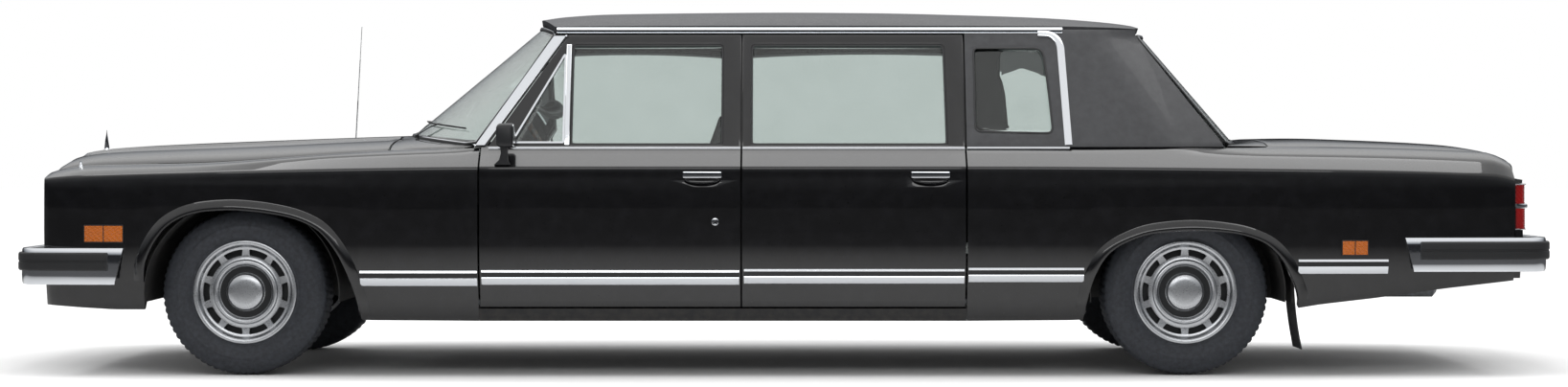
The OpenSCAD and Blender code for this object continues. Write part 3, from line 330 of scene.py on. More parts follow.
# %% Tables of the body
def smooth(rows):
    """A function that runs smoothly through the rows of a table, with no overshoot."""
    x, y = np.array(rows, float).T
    gaps, slopes = np.diff(x), np.diff(y) / np.diff(x)
    total, product = slopes[1:] + slopes[:-1], slopes[1:] * slopes[:-1]
    inner = np.where(product > 0, 2 * product / np.where(total == 0, 1, total), 0)
    m = np.concatenate([slopes[:1], inner, slopes[-1:]])

    def at(q):
        q = np.clip(np.asarray(q, float), x[0], x[-1])
        i = np.clip(np.searchsorted(x, q) - 1, 0, len(x) - 2)
        t = (q - x[i]) / gaps[i]
        return ((2 * t ** 3 - 3 * t ** 2 + 1) * y[i] + (t ** 3 - 2 * t ** 2 + t) * gaps[i] * m[i]
                + (3 * t ** 2 - 2 * t ** 3) * y[i + 1] + (t ** 3 - t ** 2) * gaps[i] * m[i + 1])
    return at


HALF = 1044
plan_inset = smooth([(-3060, 90), (-2980, 62), (-2900, 44), (-2700, 28), (-2432, 16), (-1800, 4), (-1250, 0),
                     (748, 0), (1656, 4), (2100, 10), (2500, 24), (2800, 44), (3000, 69), (3060, 92)])
tuck = smooth([(225, 88), (284, 62), (376, 38), (434, 18), (520, 4), (600, 0), (700, 0), (780, 2), (812, 4),
               (860, 6)])
crease_z = smooth([(-3048, 812), (-2900, 822), (-2432, 837), (-1803, 850), (-1250, 856), (748, 858),
                   (2206, 846), (2914, 827), (3010, 806), (3050, 790)])
shoulder_z = smooth([(-3048, 826), (-2900, 845), (-2432, 862), (-1803, 906), (-1250, 921), (748, 921),
                     (2206, 905), (2914, 883), (3010, 858), (3050, 840)])
top_z = smooth([(-3048, 838), (-3020, 850), (-2900, 866), (-2432, 876), (-1840, 915), (-1650, 928),
                (-1250, 938), (1800, 940), (2022, 943), (2206, 942), (2914, 920), (3000, 892), (3050, 850)])
wing_inner = smooth([(-3048, 720), (-1650, 778), (-1480, 798), (-1253, 926)])
quarter_inner = smooth([(740, 925), (1600, 925), (1826, 850), (2010, 768), (3050, 768)])
hood_edge = smooth([(-3046, 838), (-3020, 850), (-2900, 866), (-2600, 873), (-2432, 877), (-1840, 916),
                    (-1652, 928)])
hood_middle = smooth([(-3046, 893), (-3020, 918), (-2900, 938), (-2600, 955), (-2432, 962), (-1840, 984),
                      (-1652, 990)])
hood_share = smooth([(0, 1), (0.4, 0.93), (0.45, 0.8), (0.72, 0.58), (0.9, 0.3), (1, 0)])


def side_y(x, z):
    return HALF - plan_inset(x) - tuck(z)


def glass_y(z):
    """Half width of the cabin's leaning side, from the belt line to the rail over the doors."""
    return 949 - 187 * (np.asarray(z, float) - 944) / 465


print("half width at the crease amidships:", round(float(side_y(0, 856)), 1), "mm")

# %% [markdown]
# ## From points to panels
# A pressed panel is a thin sheet with rolled edges. Each one here is a fine grid of points
# for its face, the same grid moved inwards for its back, and a rim between the two, turned
# so that all faces look outwards. A small bevel on the rim catches the light, as a folded
# edge does.

# %% Helpers for shapes
# A body is a pair here: its points in millimetres, and its faces.
def piece(name, shape, material, body="root", replaces=(), slot=None, sharp=38, modifiers=(), cut=None):
    """A mesh in the car's frame from points in millimetres. What cut gives is taken out of
    it, its modifiers are kept as plain mesh, and it rides on a body of the car."""
    made = loose(name, shape, material, sharp)
    if cut:
        carve(made, cut)
    if modifiers:
        baked(made, *modifiers, sharp=sharp)
    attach(made, body)
    if replaces:
        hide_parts(*replaces)
    return made


def pair(name, shape, material, body="root", replaces=(), cut=None, **more):
    """A piece for each side of the car. A star in any name stands for left or right."""
    for n, s in SIDES.items():
        named = [text.replace("*", n) for text in (name, body, *replaces)]
        piece(named[0], on_side(shape, s), material, named[1], named[2:], cut=cut and on_side(cut, s), **more)


def loose(name, shape, material, sharp=38):
    mesh = bpy.data.meshes.new(name)
    points, faces = shape
    mesh.from_pydata([[float(c) / 1000 for c in p] for p in points], [], [list(map(int, f)) for f in faces])
    made = bpy.data.objects.new(name, mesh)
    bpy.context.scene.collection.objects.link(made)
    mesh.materials.append(material)
    tidy(made, sharp)
    return made


def carve(made, shape, *modifiers, **more):
    """Takes a shape out of a mesh, and then applies the modifiers to what is left."""
    cutter = loose("cutter", shape, made.data.materials[0])
    baked(made, ("BOOLEAN", dict(object=cutter, operation="DIFFERENCE", solver="EXACT")), *modifiers, **more)
    bpy.data.objects.remove(cutter)


def tidy(made, sharp=38):
    """Merges doubles, turns every face outwards and shades smooth up to an angle."""
    work = bmesh.new()
    work.from_mesh(made.data)
    bmesh.ops.remove_doubles(work, verts=work.verts, dist=0.00001)
    bmesh.ops.recalc_face_normals(work, faces=work.faces)
    for f in work.faces:
        f.smooth = True
    work.to_mesh(made.data)
    work.free()
    made.data.set_sharp_from_angle(angle=math.radians(sharp))


def baked(made, *modifiers, sharp=38):
    """Adds modifiers, each a type and its settings, and keeps their result as a plain mesh."""
    for kind, settings in modifiers:
        modifier = made.modifiers.new(kind.lower(), kind)
        for key, value in settings.items():
            setattr(modifier, key, value)
    graph = bpy.context.evaluated_depsgraph_get()
    mesh = bpy.data.meshes.new_from_object(made.evaluated_get(graph))
    made.modifiers.clear()
    made.data = mesh
    made.data.set_sharp_from_angle(angle=math.radians(sharp))


def rolled(width=2.0, segments=2, angle=50):
    return ("BEVEL", dict(width=width / 1000, segments=segments, limit_method="ANGLE",
                          angle_limit=math.radians(angle), use_clamp_overlap=True))


def grid(rows, close=False):
    """Quads between rows of points. A closed grid joins each row's end to its start."""
    n, m = len(rows[0]), len(rows)
    last = n if close else n - 1
    faces = [(i * n + j, i * n + (j + 1) % n, (i + 1) * n + (j + 1) % n, (i + 1) * n + j)
             for i in range(m - 1) for j in range(last)]
    return [p for row in rows for p in row], faces


def sheet_shell(rows, thickness, outward=(0, 1, 0)):
    """Face, back and rim of a panel. The back lies inwards by the thickness."""
    face = np.array(rows, float)
    du, dv = np.gradient(face, axis=0), np.gradient(face, axis=1)
    normal = np.cross(du, dv)
    normal /= np.linalg.norm(normal, axis=2, keepdims=True) + 1e-9
    if (normal @ np.array(outward, float)).sum() < 0:
        normal = -normal
    return two_skins(face, face - normal * thickness)


def two_skins(face, back):
    """A closed body between two grids of the same size."""
    m, n = np.shape(face)[:2]
    points, faces = grid(face)
    more, others = grid(back)
    points, k = list(points) + list(more), m * n
    faces += [tuple(v + k for v in f) for f in others]
    ring = [*range(n), *range(2 * n - 1, m * n, n), *range(m * n - 2, (m - 1) * n - 1, -1),
            *range((m - 2) * n, 0, -n)]
    faces += [(a, b, b + k, a + k) for a, b in zip(ring, ring[1:] + ring[:1])]
    return points, faces


def merged(*parts):
    """Several sets of points and faces as one."""
    points, faces = [], []
    for some, more in parts:
        k = len(points)
        points += [tuple(p) for p in some]
        faces += [tuple(v + k for v in f) for f in more]
    return points, faces


def moved(shape, put):
    """The same faces, with every point where put says."""
    points, faces = shape
    return [tuple(put(*p)) for p in points], faces


def on_side(shape, s):
    """The same shape on the side s: 1 is the right, -1 the left."""
    return moved(shape, lambda x, y, z: (x, s * y, z))


def both(shape):
    return merged(on_side(shape, 1), on_side(shape, -1))


def filleted(corners, radius, steps=4):
    """A line of points with its inner corners rounded off, in two or three dimensions."""
    corners = [np.array(c, float) for c in corners]
    radii = radius if isinstance(radius, (list, tuple)) else [radius] * len(corners)
    line = [corners[0]]
    for a, b, c, r in zip(corners, corners[1:], corners[2:], radii[1:]):
        ab, cb = a - b, c - b
        cut = min(r, np.linalg.norm(ab) * 0.48, np.linalg.norm(cb) * 0.48)
        start, stop = b + ab / np.linalg.norm(ab) * cut, b + cb / np.linalg.norm(cb) * cut
        for k in range(steps + 1):
            t = k / steps
            line.append(start * (1 - t) ** 2 + 2 * b * t * (1 - t) + stop * t * t)
    return line + [corners[-1]]


def rounded(corners, radius, steps=5):
    """A closed outline with rounded corners."""
    corners = [tuple(c) for c in corners]
    radii = list(radius) if isinstance(radius, (list, tuple)) else [radius] * len(corners)
    middle = tuple((np.array(corners[-1]) + np.array(corners[0])) / 2)
    line = filleted([middle] + corners + [middle], [0] + radii + [0], steps)
    return [tuple(p) for p in line[:-1]]


def oblong(x0, x1, z0, z1, radius, steps=5):
    """A rectangle with rounded corners."""
    return rounded([(x0, z0), (x1, z0), (x1, z1), (x0, z1)], radius, steps)


def lofted(rings, ends=True):
    """A body between closed rings of points, with flat ends."""
    points, faces = grid(rings, close=True)
    n, m = len(rings[0]), len(rings)
    if ends:
        faces += [tuple(range(n)), tuple(range((m - 1) * n, m * n))]
    return points, faces


def spanned(outline, *stations):
    """An outline of x and z carried across the car. A station may be a pair: its second
    number draws the outline in by so much there."""
    stations = [s if isinstance(s, tuple) else (s, None) for s in stations]
    return lofted([[(x, y, z) for x, z in (outline if inset is None else moved_out(outline, -inset))]
                   for y, inset in stations])


def swept(path, profile, up=(0, 0, 1), loop=False):
    """A profile carried along a path. Its first number points sideways, its second along up."""
    p, up = np.array(path, float), np.array(up, float)
    step = np.roll(p, -1, 0) - np.roll(p, 1, 0) if loop else np.gradient(p, axis=0)
    along = step / (np.linalg.norm(step, axis=1, keepdims=True) + 1e-9)
    across = np.cross(along, up)
    across /= np.linalg.norm(across, axis=1, keepdims=True) + 1e-9
    rise = np.cross(across, along)
    rings = [[tuple(p[i] + across[i] * a + rise[i] * b) for a, b in profile] for i in range(len(p))]
    return lofted(rings + rings[:1] if loop else rings, ends=not loop)


def around_circle(n):
    """Angles of n even steps all round."""
    return [2 * math.pi * k / n for k in range(n)]


def circle(r, n=12, squash=1.0, middle=(0, 0)):
    return [(middle[0] + r * math.cos(a), middle[1] + r * squash * math.sin(a)) for a in around_circle(n)]


def moved_out(line, d):
    """A closed outline, moved outwards by d all round."""
    p = np.array(line, float)
    steps = p - np.roll(p, 1, 0), np.roll(p, -1, 0) - p
    n0, n1 = (np.stack([v[:, 1], -v[:, 0]], 1) / (np.linalg.norm(v, axis=1, keepdims=True) + 1e-9)
              for v in steps)
    area = (p[:, 0] * np.roll(p[:, 1], -1) - np.roll(p[:, 0], -1) * p[:, 1]).sum()
    return p + (n0 + n1) / (1 + (n0 * n1).sum(1, keepdims=True)) * d * np.sign(area)


def plate(outline, holes, near, far, put, edge=1.5):
    """A flat piece with holes: outlines in u and v, between two depths, with rounded edges.
    put turns u, v and depth into a point of the car."""
    curve = bpy.data.curves.new("plate", "CURVE")
    curve.dimensions, curve.fill_mode = "2D", "BOTH"
    curve.extrude, curve.bevel_depth, curve.bevel_resolution = abs(far - near) / 2 - edge, edge, 1
    for line, out in [(outline, -edge)] + [(h, edge) for h in holes]:
        line = moved_out(line, out)
        spline = curve.splines.new("POLY")
        spline.points.add(len(line) - 1)
        spline.points.foreach_set("co", [c for q in line for c in (q[0], q[1], 0, 1)])
        spline.use_cyclic_u = True
    drawn = bpy.data.objects.new("plate", curve)
    bpy.context.scene.collection.objects.link(drawn)
    bpy.context.view_layer.update()
    mesh = bpy.data.meshes.new_from_object(drawn.evaluated_get(bpy.context.evaluated_depsgraph_get()))
    points = [put(v.co.x, v.co.y, v.co.z + (near + far) / 2) for v in mesh.vertices]
    faces = [tuple(f.vertices) for f in mesh.polygons]
    bpy.data.objects.remove(drawn)
    return points, faces


def leaning(u, v, w):
    """A point on the cabin's side: station, height, and how far it stands out."""
    return u, float(glass_y(v)) + w, v


def on_body(u, v, w):
    """A point on the body's side: station, height, and how far it stands out."""
    return u, side_y(u, v) + w, v


def facing(x0, way=-1):
    """For things that face forwards (-1) or rearwards (1): u is the width, v the height."""
    return lambda u, v, w: (x0 + way * w, u, v)


def box_shape(x0, x1, y0, y1, z0, z1):
    return lofted([[(x, y0, z0), (x, y1, z0), (x, y1, z1), (x, y0, z1)] for x in (x0, x1)])


def turned(profile, steps=48):
    """A round body: profile of radii and heights, closed, about the third axis."""
    rings = [[(r * math.cos(a), r * math.sin(a), h) for r, h in profile] for a in around_circle(steps)]
    return lofted(rings + rings[:1], ends=False)


print("helpers for shapes are ready")

# %% [markdown]
# ## Wings and rear quarters
# The wings are the most drawn part of the body: a side that tucks in below, a hard crease
# under a broad chamfer, a soft shoulder, and wheel openings with a rolled, flared lip. Each
# one is a row of upright sections whose lower ends follow the opening, so the crease and
# the opening come from the same surface and their reflections meet cleanly.

# %% Wheel openings and sections
HUB_Y, HUB_Z = 821, 342
FRONT_HUB, REAR_HUB = -2224, 1656
FRONT_ARCH = [(-406, -70), (-397, 100), (-380, 155), (-342, 225), (-292, 280), (-207, 322), (-130, 336),
              (-40, 340), (52, 334), (130, 324), (208, 308), (306, 266), (371, 199), (423, 108), (478, -60),
              (486, -110)]
REAR_ARCH = [(-426, -112), (-408, -18), (-378, 80), (-325, 163), (-250, 211), (-130, 247), (21, 256),
             (171, 247), (298, 211), (373, 148), (419, 72), (450, -2), (459, -63)]


def opening(arch, hub, steps=5):
    """The edge of a wheel opening, smoothly through its points."""
    t = np.linspace(0, len(arch) - 1, (len(arch) - 1) * steps + 1)
    x, z = (smooth(list(enumerate(column)))(t) for column in zip(*arch))
    return np.stack([hub + x, HUB_Z + z], 1)


def section(x, low, inner, nose=0.0):
    """One upright section of a wing: side, crease, chamfer, shoulder and top."""
    w, zc, zs, zt = HALF - plan_inset(x) - nose, crease_z(x), shoulder_z(x), top_z(x)
    side = [(side_y(x, z) - nose, z) for z in low + (zc - 24 - low) * np.linspace(0, 1, 16) ** 0.9]
    top = filleted([(side_y(x, zc - 24) - nose, zc - 24), (w - 6, zc), (w - 75, zs),
                    ((w - 75 + inner) / 2, (zs + zt) / 2 + 5), (inner, zt)], [0, 9, 26, 70, 0], 5)
    return [(x, y, z) for y, z in [*side, *top]]


def lip(edge, hub):
    """The flared edge of a wheel opening: a rolled bead that dies into the side."""
    away = edge - np.array([hub, HUB_Z])
    away /= np.linalg.norm(away, axis=1, keepdims=True)
    bead = [(0, -24), (-1, 8), (1, 14), (6, 16.5), (14, 16), (26, 11.5), (38, 4), (44, 0.5), (44, -14)]
    return lofted([[on_body(*(p + n * d), out) for d, out in bead] for p, n in zip(edge, away)])


def wing_shell(arch, hub, before, after, stations, inner, nose=lambda x: 0.0):
    """A wing with its lip. Its lower edge runs along the opening, and along the points before
    and after it; inner is the table of its top's inner edge, nose draws its front in."""
    edge = opening(arch, hub)
    low = np.array([*before, *edge, *after]).T
    rows = [section(x, np.interp(x, *low), inner(x), nose(x)) for x in sorted([*stations, *edge[:, 0]])]
    return both(merged(sheet_shell(rows, 14), lip(edge[3:-3], hub)))


front = wing_shell(FRONT_ARCH, FRONT_HUB, [(-3050, 290), (-2900, 280), (-2760, 272), (-2640, 272)],
                   [(-1735, 228), (-1250, 225)],
                   [*np.linspace(-3047, -2640, 16), *np.linspace(-1736, -1254, 12)], wing_inner,
                   lambda x: 14 * max(0, (-3034 - x) / 14) ** 2)
rear = wing_shell(REAR_ARCH, REAR_HUB, [(748, 225), (1200, 228)],
                  [(2206, 294), (2430, 320), (2720, 359), (3050, 396)],
                  [*np.linspace(752, 1228, 9), *np.linspace(2118, 3005, 24)], quarter_inner)
wings = piece("wings", front, enamel, replaces=["front_wings"], modifiers=[rolled(2.5)])
quarters = piece("quarters", rear, enamel, replaces=["rear_quarters"], modifiers=[rolled(2.5)])
print("wings and quarters:", len(wings.data.polygons) + len(quarters.data.polygons), "faces")

# %% [markdown]
# ## Bonnet, scuttle and boot lid
# The bonnet is crowned, with a raised centre whose edges are soft steps, and it narrows
# towards the nose. The boot lid runs almost flat and folds down over the tail. Both are
# grids over their tables, denser where the step is.

# %% Bonnet, scuttle, boot lid
UPWARDS = (0, 0, 1)
step = np.linspace(0.37, 0.48, 8)
share = np.unique(np.concatenate([np.linspace(-1, 1, 41), step, -step]))
HOOD_END = -1652
hood_half = lambda x: 712 + 58 * (x + 3048) / (HOOD_END + 3048)


def hood_point(x, u):
    edge, middle = float(hood_edge(x)), float(hood_middle(x))
    return float(x), u * hood_half(x), edge + (middle - edge) * float(hood_share(abs(u)))


rows = [[hood_point(x, u) for u in share] for x in np.linspace(-3046, HOOD_END, 44)]
bonnet = piece("bonnet", sheet_shell(rows, 20, UPWARDS), enamel, "hood", ["hood"], modifiers=[rolled(3, 3)])

across = np.linspace(-1, 1, 33)
screen_base = lambda u: np.array([-1618 + 362 * abs(u) ** 2.4, u * 905, 993 - 47 * u * u])
screen_top = lambda u: np.array([-1052 + 112 * abs(u) ** 2.2, u * 715, 1458 - 40 * abs(u) ** 3])
rows = []
for s in np.linspace(0, 1, 5):
    row = []
    for u in across * 0.97:
        low = screen_base(u)
        # Outside the bonnet the panel starts at the wing's inner edge.
        x = float(np.interp(abs(low[1]), (776, 796, 924), (-1644, -1476, -1250)))
        beside = abs(low[1]) / hood_half(HOOD_END)
        beside = hood_point(HOOD_END, beside)[2] if beside < 1 else top_z(x) - 1
        front = (min(x, low[0] - 8), low[1], beside)
        row.append(tuple(np.array(front) * (1 - s) + (low - np.array([3, 0, 1.6])) * s))
    rows.append(row)
scuttle = piece("scuttle", sheet_shell(rows, 12, UPWARDS), enamel, replaces=["cowl"], modifiers=[rolled(2)])

boot_edge = smooth([(2022, 944), (2206, 942), (2500, 934), (2800, 924), (2950, 908), (3010, 886)])
boot_middle = smooth([(2022, 976), (2206, 979), (2500, 971), (2800, 955), (2950, 930), (3010, 898)])
boot_share = smooth([(0, 1), (0.5, 0.86), (0.85, 0.5), (1, 0)])
boot_z = lambda x, u: boot_edge(x) + (boot_middle(x) - boot_edge(x)) * boot_share(abs(u))
BOOT_HALF, BOOT_START = 760, 2022
rows = [[(x, u * BOOT_HALF, boot_z(x, u)) for u in across] for x in np.linspace(BOOT_START, 3004, 30)]
tail_line = filleted([(3004, 890), (3041, 868), (3046, 800), (3044, 568)], [0, 16, 40, 0], 6)[1:]
bend = rows[-1]
for x, z in tail_line:
    rows.append([(x, u * BOOT_HALF, z + (q[2] - 890) * max(0, (z - 800) / 90)) for u, q in zip(across, bend)])
boot = piece("boot_lid_panel", sheet_shell(rows, 18, (0.4, 0, 1)), enamel, "boot_lid", ["boot_lid"],
             modifiers=[rolled(3, 3)])
print("bonnet, scuttle and boot lid:", sum(len(o.data.polygons) for o in (bonnet, scuttle, boot)), "faces")

# %% [markdown]
# ## Roof and its rear corners
# The roof is one long pressing with a flat crown that falls away at its edges. The broad
# rear corners carry the same dull covering, turn inwards to the rear window with a soft
# crease, and hold the small quarter windows.

# %% Roof, rear corners
roof_middle = smooth([(-1058, 1489), (-945, 1504), (-757, 1516), (-475, 1521), (0, 1525), (400, 1522),
                      (768, 1513), (1112, 1500), (1373, 1480), (1502, 1464), (1540, 1452)])
roof_edge = smooth([(-1058, 1444), (-757, 1446), (0, 1448), (1112, 1446), (1330, 1442), (1540, 1438)])
roof_half = smooth([(-1060, 750), (1200, 750), (1340, 738), (1470, 690), (1540, 664)])
sweep = smooth([(-1058, 100), (-945, 34), (-757, 0), (1112, 0), (1330, -12), (1540, -64)])
around = np.sin(np.linspace(-1, 1, 45) * math.pi / 2)
roof_z = lambda x, fall: roof_edge(x) + (roof_middle(x) - roof_edge(x)) * (1 - fall)
rows = [[(x + sweep(x) * abs(u) ** 2.2, u * roof_half(x), roof_z(x, abs(u) ** 3.4)) for u in around]
        for x in [*np.linspace(-1058, -757, 14), *np.linspace(-700, 1300, 24), *np.linspace(1330, 1540, 14)]]
roof = piece("roof_panel", sheet_shell(rows, 24, UPWARDS), vinyl, replaces=["roof"], modifiers=[rolled(4, 3)])

rear_base = lambda u: np.array([1932 - 96 * abs(u) ** 2.6, u * 828, 966 - 16 * u * u])
rear_top = lambda u: np.array([1548 - 74 * abs(u) ** 2.4, u * 662, 1420 - 12 * u * u])
quarter_hole = rounded([(785, 1000), (1115, 993), (1105, 1130), (1094, 1250), (1082, 1358), (785, 1358)],
                       [34, 34, 0.1, 0.1, 44, 24])
rows = []
# Each level of a rear corner: forward along the cabin's side, round the crease, and inwards
# as far as the edge of the rear window.
for z in np.linspace(941.5, 1432, 25):
    t = (z - 941.5) / 464.5
    edge = [float(np.interp(t, (0, 0.513, 1), c)) for c in
            ((1600, 1462, 1330), (1822, 1646, 1474), (868, 782, 700), (1190, 1176, 1162))]
    g = float(glass_y(z))
    line = filleted([(753, g), (edge[3] + 60, g), (edge[0], g - 9), (edge[1], edge[2])], [0, 40, 60, 0], 7)
    rise = min(1.0, max(0.0, (z - 950) / 458))
    at_glass = rear_base(1) * (1 - rise) + rear_top(1) * rise
    line.append((at_glass[0] - 8, at_glass[1] + 4))
    rows.append([(x, g, z) for x in np.linspace(753, edge[3], 7)[:-1]] + [(x, y, z) for x, y in line[1:]])
corner = sheet_shell(rows, 30)
window = spanned(quarter_hole, 600, HALF)
pair("rear_corner_*", corner, vinyl, cut=window, replaces=["sail_panels"], modifiers=[rolled(3, 3)])
rows = []
for s in np.linspace(0, 1, 6):
    foot = [rear_base(u) * [1, 1.018, 1] + [4, 0, -3] for u in across]
    lid = [np.array([BOOT_START - 6, u * (BOOT_HALF + 6), boot_z(BOOT_START, u)]) for u in across]
    rows.append([a * (1 - s) + b * s for a, b in zip(foot, lid)])
# The deck fills the gap between the rear window's foot and the boot lid.
piece("rear_deck", sheet_shell(rows, 12, UPWARDS), enamel, modifiers=[rolled(2)])
print("roof:", len(roof.data.polygons), "faces, and two rear corners with a window hole each")

# %% [markdown]
# ## Doors
# Each door is a deep box below the belt line and a slim frame above it, in which the glass
# runs. The handle has a scooped recess behind its lower edge for the fingers. The frame is a
# flat outline with its windows as holes, laid into the leaning side of the cabin, and on the
# inside a padded card covers the metal.

# %% Door panels and frames
DOOR_INNER = HALF - 125
FRONT_PANE = [(-881, 948), (-251, 948), (-251, 1371), (-881, 1371)]
VENT_PANE = [(-1122, 958), (-909, 958), (-909, 1330)]
REAR_PANE = [(-137, 948), (675, 948), (668, 1371), (-137, 1371)]
DOORS = {
    "front": dict(x=(-1246.5, -178.5), frame=[(-1222, 938), (-178.5, 938), (-178.5, 1409), (-898, 1409)],
                  holes=[rounded(FRONT_PANE, [4, 4, 24, 24]), rounded(VENT_PANE, [10, 4, 14])],
                  handle=-415, strip=(376, 437)),
    "rear": dict(x=(-171.5, 744.5), frame=[(-171.5, 938), (744.5, 938), (744.5, 1409), (-171.5, 1409)],
                 holes=[rounded(REAR_PANE, [4, 4, 24, 24])], handle=519, strip=(381, 442)),
}
side_rows = [(HALF - float(tuck(z)), float(z)) for z in np.linspace(284, 834, 20)]
side_rows += [tuple(q) for q in filleted([(HALF - 5, 836), (HALF - 6, 858), (HALF - 75, 921), (HALF - 95, 944)],
                                         [0, 9, 20, 0], 5)]


def scoop(x0):
    """The recess behind a handle: a shallow bowl, 150 mm long."""
    return lofted([[(x0 + 80 + 76 * u * math.cos(t), HALF - 3 + 20 * math.sin(t), 806 + 26 * v * math.cos(t))
                    for u, v in circle(1, 32)] for t in np.linspace(-1.45, 0.9, 12)])


for which, door in DOORS.items():
    x0, x1 = door["x"]
    face = [[(x, y, z) for y, z in side_rows] for x in np.linspace(x0, x1, 12)]
    back = [[(min(x, x1 - 16), min(DOOR_INNER, y - 16), z) for x, y, z in row] for row in face]
    body = f"door_{which}_*"
    pair(f"{body}_panel", two_skins(face, back), enamel, body, [body], scoop(door["handle"]),
         modifiers=[rolled(2.5, 2, 60)])
    pair(f"{body}_frame", plate(door["frame"], door["holes"], -38, 0, leaning, 2.0), enamel, body)
print("doors:", {which: door["x"] for which, door in DOORS.items()})

# %% [markdown]
# ## Glass and its seals
# The screens are long bent panes: a grid between a curved base and a curved top, 5 mm thick.
# The side panes are flat and run in the door frames, a little behind their faces. Black
# rubber closes every gap, and a bright bead lies in the rubber of both screens.

# %% Screens
for node, low, top, out in (("windscreen", screen_base, screen_top, (-0.6, 0, 0.8)),
                            ("rear_window", rear_base, rear_top, (0.7, 0, 0.7))):
    rows = [[tuple(low(u) * (1 - s) + top(u) * s) for u in across] for s in np.linspace(0, 1, 13)]
    piece(f"{node}_pane", sheet_shell(rows, 5, out), glass, replaces=[node])
    lift = np.array(out)
    ring = [low(u) + lift * 2 for u in across[1:-1] * 0.985]
    ring += [low(0.975) * (1 - s) + top(0.975) * s + lift * 2 for s in np.linspace(0.02, 0.97, 10)]
    ring += [top(u) - (top(u) - low(u)) * 0.012 + lift * 2 for u in -across[1:-1] * 0.965]
    ring += [top(-0.975) * (1 - s) + low(-0.975) * s + lift * 2 for s in np.linspace(0.03, 0.98, 10)]
    piece(f"{node}_seal", swept(ring, circle(11, 10, 0.55), out, loop=True), rubber)
    piece(f"{node}_bead", swept([p + lift * 4 for p in ring], circle(4, 8, 0.8), out, loop=True), chrome)
print("screens, seals and beads: 6 pieces")

# %% [markdown]
# A side pane is a plate that stops just short of its hole. The front doors also have a small
# three-cornered pane at the mirror, in a bright frame with an upright post behind it.

# %% Side glass
def pane(hole):
    """5 mm of glass, a little smaller than its hole."""
    return plate(moved_out(hole, -0.4), [], -19, -14, leaning, 0.6)


def seal_ring(hole, near=-13.5, far=-3, width=9):
    outline = moved_out(hole, -0.2)
    return plate(outline, [moved_out(outline, -width)], near, far, leaning, 1.0)


for which, door in DOORS.items():
    body = f"door_{which}_*"
    pair(f"glass_{which}_*_panes", merged(*map(pane, door["holes"])), glass, body, [f"glass_{which}_*"])
    pair(f"{body}_seal", seal_ring(door["holes"][0]), rubber, body)
vent_line = [leaning(u, v, -4) for u, v in moved_out(DOORS["front"]["holes"][1], -0.2)]
post = plate([(-905, 950), (-885, 950), (-885, 1369), (-905, 1369)], [], -10, 2.5, leaning, 2)
bright = merged(swept(vent_line, [(-5, -7), (5, -7), (4, 5), (-4, 5)], (0, 0.93, 0.37), loop=True), post)
pair("vent_frame_*", bright, chrome, "door_front_*")
piece("quarter_panes", both(pane(quarter_hole)), glass, replaces=["quarter_glass"])
piece("quarter_seals", both(seal_ring(quarter_hole, -20, 1.5, 8)), rubber)
print("side glass: 5 panes a side, in", len(DOORS), "doors and a rear corner")

# %% [markdown]
# ## Bright trim
# Thin chromium lines draw the length of the car: a bead under the windows, a double gutter
# over the doors, broad bands on the screen pillars and behind the rear corners' windows, and
# a low strip along the side, where a bright line, a black insert and a wider bright band lie
# one above the other. A strip is a short profile carried along the panel's own surface.

# %% Mouldings
def along_side(x0, x1, profile, steps):
    """A moulding on the body side: its profile gives heights and how far it stands out."""
    return lofted([[on_body(x, z, out) for z, out in profile] for x in np.linspace(x0, x1, steps)])


def side_strip(x0, x1, z0, z1, steps=14):
    """Bright parts and black insert of a low strip between two heights."""
    h = z1 - z0
    band = [(z0, -6), (z0, 1.5), (z0 + 2, 3), (z0 + 0.46 * h, 8.5), (z0 + 0.5 * h, 7), (z0 + 0.5 * h, -6)]
    insert = [(z0 + 0.49 * h, -6), (z0 + 0.49 * h, 3.5), (z0 + 0.84 * h, 3.5), (z0 + 0.84 * h, -6)]
    line = [(z0 + 0.83 * h, -6), (z0 + 0.83 * h, 7.6), (z0 + 0.87 * h, 8.2), (z1 - 1, 4.5), (z1, 2.5), (z1, -6)]
    low, high, middle = (along_side(x0, x1, profile, steps) for profile in (band, line, insert))
    return merged(low, high), middle


def belt_bead(x0, x1, y):
    """The bright bead under the windows, on a shelf at the half width y."""
    path = [(x, y, 936.5) for x in np.linspace(x1, x0, 6)]
    return swept(path, [(-8, -6), (4, -5.5), (6.5, -2), (7, 1), (5, 4.5), (1, 6), (-8, 6)])


strips = [side_strip(-1737, -1257, 371, 434), side_strip(756, 1228, 387, 447), side_strip(2106, 2476, 421, 481)]
gutter = [swept([(x, 751, z) for x in np.linspace(1162, -948, 12)],
                [(-4, -h), (10, -h), (11, -0.5 * h), (6, 0.8 * h), (3, h), (-4, h)])
          for z, h in ((1420.5, 4), (1434.5, 5.5))]
pillar_band = rounded([(-1275, 946), (-1231, 946), (-906, 1407), (-961, 1407)], 5)
pillar_band = plate(pillar_band, [], 0.3, 6.5, leaning, 2.5)
bow = filleted([(1172, 948), (1152, 1372), (1118, 1411), (1060, 1413)], [0, 60, 40, 0], 8)
bow = [leaning(u, v, 0) for u, v in bow]
bow = [p for a, b in zip(bow, bow[1:]) for p in (a, tuple((np.array(a) + np.array(b)) / 2))] + [bow[-1]]
bow_band = swept(bow, [(-15, -3), (-15, 3), (-11, 6), (11, 6), (15, 3), (15, -3)], (0, 1, 0.4))
channel = swept([(x, 750, 1427.5) for x in np.linspace(1160, -946, 6)],
                [(-4, -4), (2.5, -4), (2.5, 4), (-4, 4)])
bright, black = zip(*strips)
bright = merged(*bright, *gutter, pillar_band, bow_band, belt_bead(754, 1176, 950))
trim = piece("body_brightwork", both(bright), chrome, replaces=["body_trim"])
piece("body_inserts", both(merged(*black, channel)), rubber)
print("mouldings on the body:", len(trim.data.polygons), "faces")

